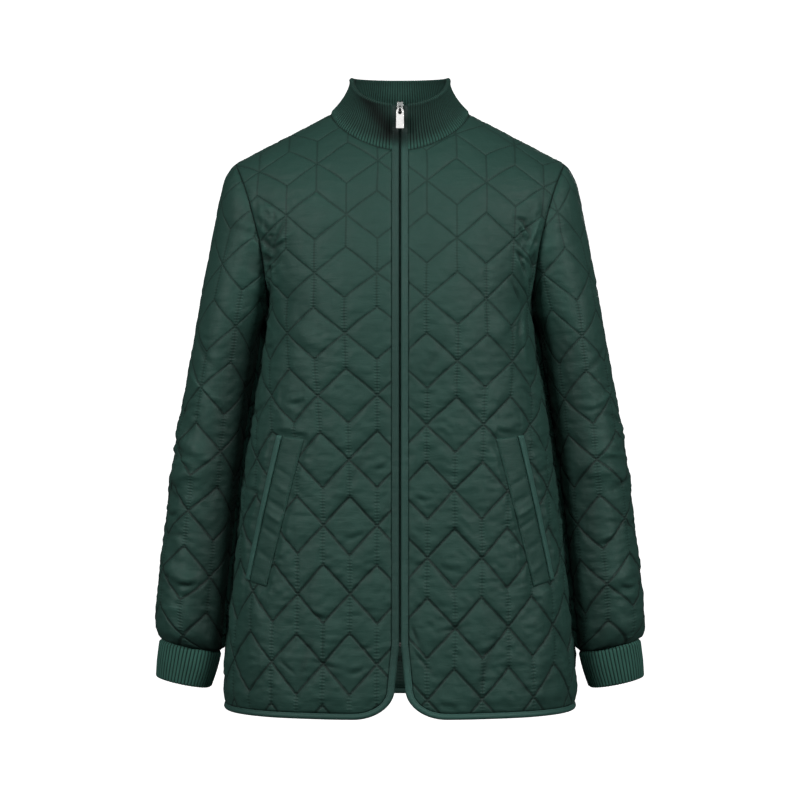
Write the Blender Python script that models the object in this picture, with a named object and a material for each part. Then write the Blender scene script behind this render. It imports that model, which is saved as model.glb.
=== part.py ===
"""Quilted jacket with a ribbed stand collar and ribbed cuffs, filled out as when worn.

Metres, +Z up, the front faces -Y, the wearer's left is +X. The origin is the middle of the neck
opening, level with the side neck points. Every cloth piece is a wall with a plain inside. The torso is
a stack of level sections from the shoulder ridge to the hem, the sleeves are stacks of ovals that start
on the armhole curve, and the quilting is a lattice of rhombi laid on those surfaces.
"""

import math

import bpy
import numpy as np
from mathutils import Vector
from mathutils.geometry import delaunay_2d_cdt

# Cloth
SEAM_GAP = 0.0003
WALL = 0.0020
PUFF = 0.0030

# Shoulder line: straight from the side neck point to the shoulder point, rounded from front to back
NECK_X, NECK_Z = 0.0845, 0.0014
SHOULDER_X, SHOULDER_Z = 0.1995, -0.0590
SHOULDER_SLOPE = (NECK_Z - SHOULDER_Z) / (SHOULDER_X - NECK_X)
RIDGE_HEIGHT = 0.120

# Armhole: an oval from the shoulder point to the underarm point
UNDERARM_Z = -0.235
ARMHOLE_FRONT, ARMHOLE_BACK = 0.072, 0.066
ARMHOLE_COLUMNS = ("height", "side")
ARMHOLE = (
    (-0.059, 0.1995),
    (-0.094, 0.1855),
    (-0.131, 0.1745),
    (-0.165, 0.1665),
    (-0.200, 0.1620),
    (-0.235, 0.1590),
)

# Torso below the underarm: half width; front and back depth for the whole height
TORSO_COLUMNS = ("height", "half_width", "front", "back")
TORSO = (
    (0.030, 0.1590, 0.072, 0.064),
    (-0.050, 0.1590, 0.084, 0.086),
    (-0.100, 0.1590, 0.101, 0.100),
    (-0.150, 0.1590, 0.115, 0.109),
    (-0.200, 0.1590, 0.124, 0.113),
    (-0.235, 0.1590, 0.128, 0.114),
    (-0.287, 0.1645, 0.130, 0.113),
    (-0.351, 0.1750, 0.130, 0.112),
    (-0.436, 0.1872, 0.131, 0.114),
    (-0.530, 0.1975, 0.133, 0.118),
    (-0.640, 0.2085, 0.136, 0.123),
    (-0.730, 0.2122, 0.138, 0.126),
)
SQUARENESS = 2.6
CHEST_SQUARENESS = 1.3

# Sleeve: outer line, half depths, lean and tilt of its ovals; it hangs clear of the torso
SLEEVE_COLUMNS = ("height", "outer", "depth", "lean", "tilt")
SLEEVE = (
    (-0.059, 0.1997, 1.000, 0.000, 0.0),
    (-0.067, 0.2055, 1.000, 0.000, 0.0),
    (-0.079, 0.2113, 1.000, 0.000, 0.0),
    (-0.104, 0.2180, 1.000, 0.000, 0.0),
    (-0.131, 0.2235, 1.000, 0.000, 0.0),
    (-0.165, 0.2300, 1.000, 0.000, 0.0),
    (-0.200, 0.2365, 1.000, 0.000, 0.0),
    (-0.235, 0.2425, 1.000, 0.000, 0.0),
    (-0.290, 0.2515, 0.960, -0.001, 2.0),
    (-0.350, 0.2620, 0.920, -0.003, 4.0),
    (-0.421, 0.2730, 0.860, -0.007, 6.0),
    (-0.494, 0.2820, 0.810, -0.011, 8.0),
    (-0.567, 0.2900, 0.775, -0.015, 10.0),
    (-0.604, 0.2938, 0.750, -0.017, 11.0),
    (-0.624, 0.2942, 0.715, -0.018, 12.0),
    (-0.636, 0.2925, 0.640, -0.018, 12.0),
    (-0.644, 0.2895, 0.550, -0.018, 12.0),
)
SLEEVE_END = -0.644
SLEEVE_CLEARANCE = 0.0088
CUFF_LENGTH = 0.0455
CUFF_TILT = math.radians(12.0)
CUFF_BOTTOM = (0.0330, 0.0350)
CUFF_RIBS = 52

# Neck seam and collar
NECK_FRONT_DROP, NECK_FRONT_CURVE = 0.0530, 1.65
NECK_BACK_DROP, NECK_BACK_CURVE = 0.0170, 2.2
COLLAR_TOP_X, COLLAR_TOP_FRONT, COLLAR_TOP_BACK = 0.0600, 0.0660, 0.0600
COLLAR_TOP_Z = {"front": 0.0044, "side": 0.0440, "back": 0.0486}
COLLAR_FLARE = 1.8
COLLAR_WALL = 0.0030
COLLAR_RIBS = 140
RIB_RISE = 0.0008

# Front opening, hem and bindings
EDGE_GAP = 0.0015
ZIP_END_Z = -0.632
CORNER_X, CORNER_Z = 0.006, -0.684
CORNER_WIDE, CORNER_HIGH = 0.049, 0.0365
HEM_Z = -0.7205
BINDING_WIDTH = 0.0083

# Pocket bands: side and height of the four corners on the front panels
POCKET_COLUMNS = ("side", "height")
POCKET_MOUTH = ((0.143, -0.389), (0.180, -0.561))
POCKET_INNER = ((0.1125, -0.3935), (0.157, -0.568))
POCKET_BINDING_WIDTH = 0.0068
POCKET_LIFT = 0.0004
POCKET_ROWS = 12

# Quilting: the first star column and row, their pitches, and how much the rows open out downwards
QUILT_COLUMNS = ("first_column", "column_pitch", "first_row", "row_pitch", "row_growth", "parity")
QUILT = {
    "front_left": (0.0335, 0.0345, -0.0885, 0.0690, 0.0020, 0),
    "front_right": (0.0275, 0.0325, -0.0635, 0.0663, 0.0022, 0),
    "back": (0.0, 0.0340, -0.0760, 0.0680, 0.0020, 0),
    "sleeve_left": (-0.0130, 0.0335, -0.1240, 0.0735, 0.0001, 0),
    "sleeve_right": (0.0010, 0.0335, -0.0385, 0.0735, 0.0001, 0),
}
DROP_SHARE = 3.0 / 7.0
PUFF_POINTS = (0.28, 0.72)
LINE_SNAP = 0.011

# Soft folds: middle along and down the cloth, direction, half length, half width and rise
FOLD_COLUMNS = ("along", "height", "turn_deg", "half_length", "half_width", "rise")
FOLDS = {
    "front": (
        (0.125, -0.265, 28.0, 0.050, 0.011, 0.0030),
        (0.085, -0.640, 82.0, 0.090, 0.020, 0.0030),
        (0.175, -0.630, 78.0, 0.090, 0.018, 0.0035),
    ),
    "back": (
        (0.095, -0.600, 84.0, 0.120, 0.022, 0.0040),
        (-0.090, -0.610, 95.0, 0.110, 0.022, 0.0040),
        (0.0, -0.640, 90.0, 0.090, 0.020, 0.0030),
    ),
    "sleeve": (
        (-0.045, -0.400, 22.0, 0.055, 0.010, 0.0035),
        (-0.050, -0.440, -14.0, 0.050, 0.010, 0.0035),
        (-0.060, -0.560, 18.0, 0.050, 0.011, 0.0030),
        (0.060, -0.420, 10.0, 0.050, 0.011, 0.0030),
    ),
}

# Zip
TAPE_WIDTH, TAPE_DEEP, TAPE_THICK = 0.0125, 0.0041, 0.0010
CHAIN_HALF, CHAIN_FRONT, CHAIN_BACK = 0.0012, 0.0010, 0.0038
ZIP_TOP_Z = 0.0024
PIVOT_Z = -0.0008
PIVOT_LIFT = 0.0060
PULL_LENGTH, PULL_HALF_WIDTH, PULL_THICK = 0.0262, 0.0047, 0.0014
PULL_BAR, PULL_CORNERS = 0.0009, 24
EYE_MIDDLE, EYE_WIDE, EYE_HIGH = 0.0042, 0.0023, 0.0033

RIB_GREEN = (0.030, 0.062, 0.050, 1.0)
SATIN_GREEN = (0.026, 0.062, 0.050, 1.0)
BINDING_GREEN = (0.036, 0.078, 0.063, 1.0)
TAPE_GREEN = (0.012, 0.026, 0.021, 1.0)
NICKEL = (0.72, 0.72, 0.71, 1.0)


def smooth(value):
    """An even step from 0 to 1."""
    value = np.clip(value, 0.0, 1.0)
    return value * value * (3.0 - 2.0 * value)


def curve_through(xs, ys, at):
    """A smooth curve through the rows of a table: a cubic between each two, with the rows' own slopes."""
    order = np.argsort(xs)
    xs, ys = np.asarray(xs, float)[order], np.asarray(ys, float)[order]
    slopes = np.gradient(ys, xs)
    at = np.clip(at, xs[0], xs[-1])
    i = np.clip(np.searchsorted(xs, at) - 1, 0, len(xs) - 2)
    width = xs[i + 1] - xs[i]
    t = (at - xs[i]) / width
    return (
        (1 + 2 * t) * (1 - t) ** 2 * ys[i]
        + t * (1 - t) ** 2 * width * slopes[i]
        + t * t * (3 - 2 * t) * ys[i + 1]
        - t * t * (1 - t) * width * slopes[i + 1]
    )


def read(table, columns, name, height):
    """One named column of a table, at any height."""
    rows = np.array(table)
    return curve_through(rows[:, columns.index("height")], rows[:, columns.index(name)], height)


def unit(vectors):
    return vectors / np.maximum(np.linalg.norm(vectors, axis=-1, keepdims=True), 1e-12)


def fold_rise(name, along, height):
    """The sum of a surface's soft folds: each is a long bell, highest in its middle."""
    rise = np.zeros(np.broadcast(along, height).shape)
    for row in FOLDS[name]:
        fold = dict(zip(FOLD_COLUMNS, row))
        turn = math.radians(fold["turn_deg"])
        across, down = along - fold["along"], height - fold["height"]
        lengthwise = (across * math.cos(turn) + down * math.sin(turn)) / fold["half_length"]
        sideways = (down * math.cos(turn) - across * math.sin(turn)) / fold["half_width"]
        rise = rise + fold["rise"] * np.exp(-(lengthwise**2) - sideways**2)
    return rise


# Torso


def shoulder_height(x):
    return NECK_Z - SHOULDER_SLOPE * (x - NECK_X)


def ridge(x, z):
    """0 on the shoulder ridge, rounding to 1 below it."""
    below = np.clip((shoulder_height(x) - z) / RIDGE_HEIGHT, 0.0, 1.0)
    return np.sqrt(1.0 - (1.0 - below) ** 2)


def armhole_share(z):
    middle, half = (SHOULDER_Z + UNDERARM_Z) / 2, (SHOULDER_Z - UNDERARM_Z) / 2
    return np.sqrt(np.clip(1.0 - ((z - middle) / half) ** 2, 0.0, 1.0))


def side_x(z):
    """Where a level section ends: at the ridge, the armhole or the side seam."""
    at_ridge = NECK_X + (NECK_Z - z) / SHOULDER_SLOPE
    at_armhole = read(ARMHOLE, ARMHOLE_COLUMNS, "side", z)
    at_seam = read(TORSO, TORSO_COLUMNS, "half_width", z)
    return np.where(z > SHOULDER_Z, at_ridge, np.where(z > UNDERARM_Z, at_armhole, at_seam))


def section(z, face):
    """A level section's half width, depth, the share of depth left at its end, and its end's squareness."""
    depth = read(TORSO, TORSO_COLUMNS, face, z)
    under = np.clip(z, UNDERARM_Z, SHOULDER_Z - 0.003)
    armhole = {"front": ARMHOLE_FRONT, "back": ARMHOLE_BACK}[face] * armhole_share(under)
    share = armhole / (read(TORSO, TORSO_COLUMNS, face, under) * ridge(side_x(under), under))
    square = SQUARENESS - (SQUARENESS - CHEST_SQUARENESS) * smooth((z - UNDERARM_Z) / 0.08)
    return side_x(z), depth, np.where(z > UNDERARM_Z, share, 0.0), square


def flat_depth(across, z, face):
    """Depth of a level section before the shoulder rounds it off; across runs from 0 to 1."""
    _, depth, share, square = section(z, face)
    return depth * (1.0 - (1.0 - share**square) * across**SQUARENESS) ** (1.0 / square)


class Arcs:
    """Lengths along level sections, tabled once: turns a distance along the cloth into a place across it."""

    def __init__(self, heights, angles, curves):
        self.heights, self.angles = heights, angles
        steps = np.linalg.norm(np.diff(curves, axis=1), axis=2)
        self.length = np.concatenate([np.zeros((len(heights), 1)), np.cumsum(steps, axis=1)], axis=1)
        self.shares = np.linspace(0.0, 1.0, len(angles))
        spans = np.maximum(self.length[:, -1:], 1e-9)
        self.angle = np.array([np.interp(self.shares, row, angles) for row in self.length / spans])

    def look(self, table, height, axis, at):
        """Reads a table between its rows and columns."""
        row = np.interp(height, self.heights, np.arange(len(self.heights)))
        col = np.interp(at, axis, np.arange(len(axis)))
        i = np.minimum(row.astype(int), len(self.heights) - 2)
        j = np.minimum(col.astype(int), len(axis) - 2)
        f, g = row - i, col - j
        upper = table[i, j] * (1 - g) + table[i, j + 1] * g
        lower = table[i + 1, j] * (1 - g) + table[i + 1, j + 1] * g
        return upper * (1 - f) + lower * f

    def total(self, height):
        return np.interp(height, self.heights, self.length[:, -1])

    def angle_at(self, height, distance):
        share = distance / np.maximum(self.total(height), 1e-9)
        return self.look(self.angle, height, self.shares, np.clip(share, 0.0, 1.0))

    def distance_at(self, height, angle):
        return self.look(self.length, height, self.angles, angle)


def torso_arcs(face):
    heights = np.linspace(-0.730, 0.030, 381)
    angles = np.linspace(0.0, math.pi / 2, 121)
    z, turn = np.meshgrid(heights, angles, indexing="ij")
    across = np.sin(turn)
    curves = np.stack([side_x(z) * across, flat_depth(across, z, face)], axis=2)
    return Arcs(heights, angles, curves)


TORSO_ARCS = {face: torso_arcs(face) for face in ("front", "back")}


def torso(along, z, face):
    """A point of the torso: along is the distance round the cloth from the centre line."""
    along, z = np.broadcast_arrays(np.asarray(along, float), np.asarray(z, float))
    across = np.sin(TORSO_ARCS[face].angle_at(z, np.abs(along)))
    x = side_x(z) * across
    depth = flat_depth(across, z, face)
    share = depth / read(TORSO, TORSO_COLUMNS, face, z)
    depth = (depth + fold_rise(face, along, z) * share) * ridge(x, z)
    facing = {"front": -1.0, "back": 1.0}[face]
    return np.stack([np.sign(along) * x, facing * depth, z], axis=-1)


def front_surface(along, z):
    return torso(along, z, "front")


def back_surface(along, z):
    return torso(along, z, "back")


def torso_along(x, z, face):
    """The distance round the cloth at a given side place and height."""
    return TORSO_ARCS[face].distance_at(z, np.arcsin(np.clip(x / side_x(z), 0.0, 1.0)))


# Sleeve


def sleeve_oval(z):
    """Centre, half width, front and back half depth and tilt of the sleeve's oval at a height."""
    share = armhole_share(z)
    full = np.where(z > (SHOULDER_Z + UNDERARM_Z) / 2, share, read(SLEEVE, SLEEVE_COLUMNS, "depth", z))
    behind = np.sqrt(np.clip(1.0 - (share / np.maximum(full, 1e-6)) ** 2, 0.0, 1.0))
    behind = np.where(z > UNDERARM_Z, behind, 1.0)
    clear = SLEEVE_CLEARANCE * smooth((UNDERARM_Z - z) / 0.035)
    inner = side_x(z) + np.where(z > UNDERARM_Z, 0.0, clear)
    outer = read(SLEEVE, SLEEVE_COLUMNS, "outer", z)
    half = np.maximum(outer - inner, 0.0) / (1.0 + behind)
    tilt = np.radians(read(SLEEVE, SLEEVE_COLUMNS, "tilt", z))
    lean = read(SLEEVE, SLEEVE_COLUMNS, "lean", z)
    end = np.arccos(-np.clip(behind, 0.0, 1.0))
    return outer - half, half, full * ARMHOLE_FRONT, full * ARMHOLE_BACK, lean, tilt, end


def sleeve_arcs(face):
    heights = np.linspace(SLEEVE_END, SHOULDER_Z, 391)
    angles = np.linspace(0.0, math.pi, 161)
    z, turn = np.meshgrid(heights, angles, indexing="ij")
    _, half, front, back, _, _, end = sleeve_oval(z)
    depth = front if face == "front" else back
    turn = np.minimum(turn, end)
    return Arcs(heights, angles, np.stack([half * np.cos(turn), depth * np.sin(turn)], axis=2))


SLEEVE_ARCS = {face: sleeve_arcs(face) for face in ("front", "back")}


def sleeve(along, height):
    """A point of the left sleeve: along is the distance round the cloth from its outer line, minus in front."""
    along, height = np.broadcast_arrays(np.asarray(along, float), np.asarray(height, float))
    ahead = SLEEVE_ARCS["front"].angle_at(height, np.abs(along))
    behind = SLEEVE_ARCS["back"].angle_at(height, np.abs(along))
    centre, half, front, back, lean, tilt, _ = sleeve_oval(height)
    turn = np.where(along < 0, ahead, behind)
    depth = np.where(along < 0, -front, back)
    swell = 1.0 + fold_rise("sleeve", along, height) / np.maximum(half, 0.02)
    out = half * np.cos(turn) * np.where(np.cos(turn) > 0, swell, 1.0)
    return np.stack(
        [centre + out, lean + depth * np.sin(turn) * swell, height + np.tan(tilt) * out], axis=-1
    )


def normals(surface, along, height, outward):
    """Unit normals of a surface, turned to the outside; outward is a point well inside the piece."""
    step = 2e-4
    across = surface(along + step, height) - surface(along - step, height)
    down = surface(along, height - 2 * step) - surface(along, height)
    found = unit(np.cross(across, down))
    away = surface(along, height) - outward(surface(along, height))
    return found * np.sign((found * away).sum(axis=-1, keepdims=True) + 1e-12)


def torso_core(points):
    """The torso's middle line, level with each point and held below the shoulders."""
    core = np.zeros_like(points)
    core[..., 2] = np.minimum(points[..., 2], -0.14)
    return core


def sleeve_core(points):
    core = np.zeros_like(points)
    height = np.clip(points[..., 2], SLEEVE_END, -0.13)
    centre, _, _, _, lean, _, _ = sleeve_oval(height)
    core[..., 0], core[..., 1], core[..., 2] = centre, lean, height
    return core


# Seam curves, each sampled once so that both neighbours share its points


def sampled(count, *arrays):
    """Picks count + 1 places evenly spaced along the first array's points, in all arrays."""
    steps = np.linalg.norm(np.diff(arrays[0], axis=0), axis=1)
    length = np.concatenate([[0.0], np.cumsum(steps)])
    wanted = np.linspace(0.0, length[-1], count + 1)
    picked = []
    for values in arrays:
        values = np.asarray(values, float).reshape(len(length), -1)
        picked.append(np.stack([np.interp(wanted, length, column) for column in values.T], axis=1))
    return picked


def armhole_curve(face, count=20):
    """From the shoulder point to the underarm point: points and heights."""
    turn = np.linspace(0.0, math.pi, 600)
    half = (SHOULDER_Z - UNDERARM_Z) / 2
    z = (SHOULDER_Z + UNDERARM_Z) / 2 + half * np.cos(turn)
    reach = {"front": -ARMHOLE_FRONT, "back": ARMHOLE_BACK}[face]
    points = np.stack([side_x(np.minimum(z, SHOULDER_Z)), reach * np.sin(turn), z], axis=1)
    return sampled(count, points, z)


def neck_curve(face, first_x, count):
    """From the side neck point to first_x near the centre line, on the torso's surface."""
    drop, curve = {
        "front": (NECK_FRONT_DROP, NECK_FRONT_CURVE),
        "back": (NECK_BACK_DROP, NECK_BACK_CURVE),
    }[face]
    turn = np.linspace(0.0, 1.0, 600)
    x = first_x + (NECK_X - first_x) * (1.0 - turn**1.5)
    z = NECK_Z - drop * (1.0 - (x / NECK_X) ** curve) ** (1.0 / curve)
    along = torso_along(x, z, face)
    points = torso(along, z, face)
    points[0] = (NECK_X, 0.0, NECK_Z)
    return sampled(count, points, along, z)


def shoulder_curve(count=7):
    x = np.linspace(NECK_X, SHOULDER_X, count + 1)
    return np.stack([x, np.zeros_like(x), shoulder_height(x)], axis=1)


def edge_path():
    """The bound edge of a front in the cloth's own plane: down the opening, round the corner, along the hem."""
    opening = np.stack([np.full(200, EDGE_GAP), np.linspace(neck_front_z(), ZIP_END_Z, 200)], axis=1)
    apart = np.stack([np.linspace(EDGE_GAP, CORNER_X, 40), np.linspace(ZIP_END_Z, CORNER_Z, 40)], axis=1)
    turn = np.linspace(math.pi, 1.5 * math.pi, 60)
    middle = CORNER_X + CORNER_WIDE
    corner = np.stack([middle + CORNER_WIDE * np.cos(turn), CORNER_Z + CORNER_HIGH * np.sin(turn)], axis=1)
    end = TORSO_ARCS["front"].total(HEM_Z)
    hem = np.stack([np.linspace(middle, end, 120), np.full(120, HEM_Z)], axis=1)
    path = np.concatenate([opening, apart[1:], corner[1:], hem[1:]])
    path = sampled(400, path)[0]
    along = unit(np.gradient(path, axis=0))
    inward = np.stack([-along[:, 1], along[:, 0]], axis=1)
    inner = path + BINDING_WIDTH * inward
    inner[-1, 0] = TORSO_ARCS["front"].total(inner[-1, 1])
    return path, inner


def neck_front_z():
    x = EDGE_GAP + BINDING_WIDTH
    return NECK_Z - NECK_FRONT_DROP * (1.0 - (x / NECK_X) ** NECK_FRONT_CURVE) ** (1.0 / NECK_FRONT_CURVE)


def edge_stations():
    """Stations of the bound edge: closer together round the corner."""
    path, inner = edge_path()
    parts = (("opening", ZIP_END_Z, 34), ("corner", None, 10), ("hem", None, 15))
    low = int(np.argmax(path[:, 1] < ZIP_END_Z))
    turned = int(np.argmax(path[:, 0] > CORNER_X + CORNER_WIDE))
    spans = ((0, low), (low, turned), (turned, len(path) - 1))
    rows = []
    for (_, _, count), (first, last) in zip(parts, spans):
        rows.append(np.linspace(first, last, count + 1)[:-1])
    rows = np.concatenate(rows + [[len(path) - 1]])
    steps = np.arange(len(path))
    outer = np.stack([np.interp(rows, steps, path[:, i]) for i in (0, 1)], axis=1)
    return outer, np.stack([np.interp(rows, steps, inner[:, i]) for i in (0, 1)], axis=1)


# Quilting


def quilt_lattice(name):
    """Star, fork and roof points of the rhombus lattice, its stitch lines and its rhombi."""
    quilt = dict(zip(QUILT_COLUMNS, QUILT[name]))
    corners, lines, rhombi = {}, [], []

    def row(k):
        return quilt["first_row"] - quilt["row_pitch"] * k - quilt["row_growth"] * k * (k - 1) / 2

    def column(c):
        return quilt["first_column"] + quilt["column_pitch"] * c

    for c in range(-14, 15):
        for k in range(-4, 12):
            if (c + k + quilt["parity"]) % 2:
                continue
            up = (1.0 - DROP_SHARE) * (row(k - 1) - row(k))
            down = (1.0 - DROP_SHARE) * (row(k) - row(k + 1))
            corners[c, k, "star"] = (column(c), row(k))
            corners[c, k, "fork"] = (column(c), row(k) + up)
            corners[c, k, "roof"] = (column(c), row(k) - down)
    for c, k, kind in list(corners):
        if kind != "star":
            continue
        star, fork, roof = (c, k, "star"), (c, k, "fork"), (c, k, "roof")
        lines += [(star, fork), (star, roof)]
        for side in (-1, 1):
            lines += [(star, (c + side, k + 1, "fork")), (star, (c + side, k - 1, "roof"))]
            rhombi.append((star, roof, (c + side, k + 1, "star"), (c + side, k + 1, "fork")))
        rhombi.append((roof, (c - 1, k + 1, "star"), (c, k + 2, "fork"), (c + 1, k + 1, "star")))
    lines = [line for line in lines if line[1] in corners]
    rhombi = [rhombus for rhombus in rhombi if all(corner in corners for corner in rhombus)]
    return corners, lines, rhombi


SHOULDER_EXTRA = {"front": 0.030, "back": 0.034}


def drape_height(along, cloth_height, face):
    """Turns a height measured over the shoulder's curve into a level height."""
    z = np.array(cloth_height, float)
    for _ in range(12):
        x = np.minimum(np.abs(along), side_x(z)) * 0.97
        below = np.clip(1.0 - (shoulder_height(x) - z) / RIDGE_HEIGHT, 0.0, 1.2)
        z = 0.5 * z + 0.5 * (cloth_height - SHOULDER_EXTRA[face] * below**3)
    return z


def inside_and_distance(points, loop):
    """Whether flat points lie in the loop, and how far each is from it."""
    a, b = loop, np.roll(loop, -1, axis=0)
    p = points[:, None, :]
    crosses = (a[:, 1] > p[..., 1]) != (b[:, 1] > p[..., 1])
    rise = np.where(np.abs(b[:, 1] - a[:, 1]) < 1e-12, 1e-12, b[:, 1] - a[:, 1])
    at = a[:, 0] + (p[..., 1] - a[:, 1]) / rise * (b[:, 0] - a[:, 0])
    inside = (crosses & (p[..., 0] < at)).sum(axis=1) % 2 == 1
    edge = b - a
    t = ((p - a) * edge).sum(axis=2) / np.maximum((edge**2).sum(axis=1), 1e-12)
    nearest = a + np.clip(t, 0.0, 1.0)[..., None] * edge
    return inside, np.linalg.norm(p - nearest, axis=2).min(axis=1)


def clipped_line(start, end, loop):
    """The nearest loop point to where a stitch line leaves the panel, if it leaves there."""
    shares = np.linspace(0.0, 1.0, 60)[:, None]
    walk = start + shares * (end - start)
    inside, _ = inside_and_distance(walk, loop)
    outside = np.flatnonzero(~inside)
    at = walk[outside[0]] if len(outside) else end
    away = np.linalg.norm(loop - at, axis=1)
    nearest = int(np.argmin(away))
    return nearest if away[nearest] < LINE_SNAP else None


def triangulate(flat, lines):
    found = delaunay_2d_cdt([Vector(point) for point in flat], lines, [], 1, 1e-6)
    return np.array([tuple(point) for point in found[0]]), found[2], found[3]


def build_object(name, points, faces, color, roughness, metallic=0.0):
    """A mesh object from points and faces, turned to face out, with its own material."""
    points = np.asarray(points, float)
    volume = 0.0
    for face in faces:
        first = points[face[0]]
        for second, third in zip(face[1:], face[2:]):
            volume += float(np.dot(first, np.cross(points[second], points[third])))
    if volume < 0:
        faces = [tuple(reversed(face)) for face in faces]
    mesh = bpy.data.meshes.new(name)
    mesh.from_pydata(points.tolist(), [], [tuple(int(i) for i in face) for face in faces])
    mesh.shade_smooth()
    mesh.set_sharp_from_angle(angle=math.radians(40.0))
    material = bpy.data.materials.new(name + "_cloth" if metallic == 0.0 else name + "_metal")
    material.use_nodes = True
    shader = material.node_tree.nodes["Principled BSDF"]
    shader.inputs["Base Color"].default_value = color
    shader.inputs["Roughness"].default_value = roughness
    shader.inputs["Metallic"].default_value = metallic
    mesh.materials.append(material)
    piece = bpy.data.objects.new(name, mesh)
    bpy.context.collection.objects.link(piece)
    return piece


def winding(flat):
    """1 for a flat loop that runs anticlockwise, -1 for one that runs clockwise."""
    area = (flat[:, 0] * np.roll(flat[:, 1], -1) - np.roll(flat[:, 0], -1) * flat[:, 1]).sum()
    return 1.0 if area > 0 else -1.0


def handedness(surface, core, place):
    """1 where the flat plane keeps its sense seen from outside, -1 where it is mirrored (the back)."""
    along, height = np.array([place[0]]), np.array([place[1]])
    across = surface(along + 1e-3, height) - surface(along, height)
    up = surface(along, height + 1e-3) - surface(along, height)
    return float(np.sign((np.cross(across, up) * normals(surface, along, height, core)).sum()))


def seam_inset(points, loop_normals, turn):
    """Moves each loop point half a seam gap into the panel, along the cloth."""
    ahead = unit(np.roll(points, -1, axis=0) - points)
    behind = np.roll(ahead, 1, axis=0)
    first = unit(np.cross(loop_normals, ahead)) * turn
    second = unit(np.cross(loop_normals, behind)) * turn
    both = first + second
    stretch = np.clip(1.0 + (first * second).sum(axis=1, keepdims=True), 0.35, 2.0)
    return SEAM_GAP / 2 * both / stretch


def pocket_corners(face_along):
    """The pocket band's corners in the cloth's plane: mouth top and bottom, inner bottom and top."""
    rows = np.array([POCKET_MOUTH[0], POCKET_MOUTH[1], POCKET_INNER[1], POCKET_INNER[0]])
    return np.stack([face_along(rows[:, 0], rows[:, 1]), rows[:, 1]], axis=1)


def quilted_panel(name, surface, core, loop, flip=False, drape=None, patch=None):
    """A quilted wall: stitch lines lie on the surface, each rhombus puffs out, the inside stays plain.

    loop has the edge's flat and solid points, its normals, and the way from its outer to its inner
    edge. patch is the grid of places that a pocket band covers: the quilting stops there.
    """
    flat, solid, sheet_normals, drops = loop
    mirror = np.array([-1.0 if flip else 1.0, 1.0, 1.0])
    turn = winding(flat) * handedness(surface, core, flat.mean(axis=0))
    solid = solid + seam_inset(solid, sheet_normals, turn)
    corners, lines, rhombi = quilt_lattice(name)
    keys = list(corners)
    places = np.array([corners[key] for key in keys])
    if drape:
        places[:, 1] = drape_height(places[:, 0], places[:, 1], drape)
    spot = dict(zip(keys, places))
    inside, distance = inside_and_distance(places, flat)
    clear = inside & (distance > 0.0065)
    patch_edge, patch_flat = np.zeros((0, 2)), np.zeros((0, 2))
    if patch is not None:
        patch_flat = patch.reshape(-1, 2)
        patch_edge = np.concatenate([patch[0], patch[1:, -1], patch[-1, -2::-1], patch[-2:0:-1, 0]])
        in_patch, patch_distance = inside_and_distance(places, patch_edge)
        clear &= ~in_patch & (patch_distance > 0.005)
    kept = [key for key, ok in zip(keys, clear) if ok]
    number = {key: len(flat) + i for i, key in enumerate(kept)}
    count = len(flat)
    edges = [(i, (i + 1) % count) for i in range(count)]
    for first, second in lines:
        if first in number and second in number:
            edges.append((number[first], number[second]))
        elif first in number or second in number:
            start, end = (first, second) if first in number else (second, first)
            near = clipped_line(spot[start], spot[end], flat)
            if near is not None:
                edges.append((number[start], near))
    puffs = []
    for rhombus in rhombi:
        quad = np.array([spot[corner] for corner in rhombus])
        for p in PUFF_POINTS:
            for q in PUFF_POINTS:
                puffs.append((1 - q) * ((1 - p) * quad[0] + p * quad[1]) + q * ((1 - p) * quad[3] + p * quad[2]))
    puffs = np.array(puffs)
    inside, distance = inside_and_distance(puffs, flat)
    rise = PUFF * smooth(distance / 0.020)
    keep = inside & (distance > 0.0060)
    if patch is not None:
        in_patch, patch_distance = inside_and_distance(puffs, patch_edge)
        rise = rise * smooth(patch_distance / 0.012)
        keep &= ~in_patch & (patch_distance > 0.004)
        edges += patch_lines(patch.shape[0], patch.shape[1], count + len(kept))
    puffs, rise = puffs[keep], rise[keep]
    lattice = np.concatenate([np.array([spot[key] for key in kept]), patch_flat])

    def lifted(points, height):
        outward = normals(surface, points[:, 0], points[:, 1], core)
        return surface(points[:, 0], points[:, 1]) + outward * np.reshape(height, (-1, 1))

    outer_flat = np.concatenate([flat, lattice, puffs])
    outer_points = np.concatenate([solid, lifted(lattice, 0.0), lifted(puffs, rise)])
    inner_points = np.concatenate([solid + drops, lifted(lattice, -WALL)])
    points, faces, rims = [], [], []
    for flat_points, solid_points, extra, reverse in (
        (outer_flat, outer_points, 0.0, False),
        (outer_flat[: count + len(lattice)], inner_points, -WALL, True),
    ):
        placed, triangles, origin = triangulate(flat_points, edges)
        base = len(points)
        where = {}
        for i, sources in enumerate(origin):
            if sources:
                points.append(solid_points[sources[0]])
                where[sources[0]] = base + i
            else:
                points.append(lifted(placed[i][None], extra)[0])
        rims.append([where[i] for i in range(count)])
        for triangle in triangles:
            numbers = [base + i for i in triangle]
            faces.append(numbers[::-1] if reverse else numbers)
    for i in range(count):
        j = (i + 1) % count
        a, b, c, d = rims[0][i], rims[0][j], rims[1][j], rims[1][i]
        if solid[i, 2] > solid[j, 2]:
            rim = ((a, c, b), (a, d, c))
        else:
            rim = ((a, d, b), (b, d, c))
        faces += rim if winding(flat) > 0 else [triangle[::-1] for triangle in rim]
    points = np.array(points) * mirror
    if flip:
        faces = [tuple(face)[::-1] for face in faces]
    return build_object(name, points, faces, SATIN_GREEN, 0.5)


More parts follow.
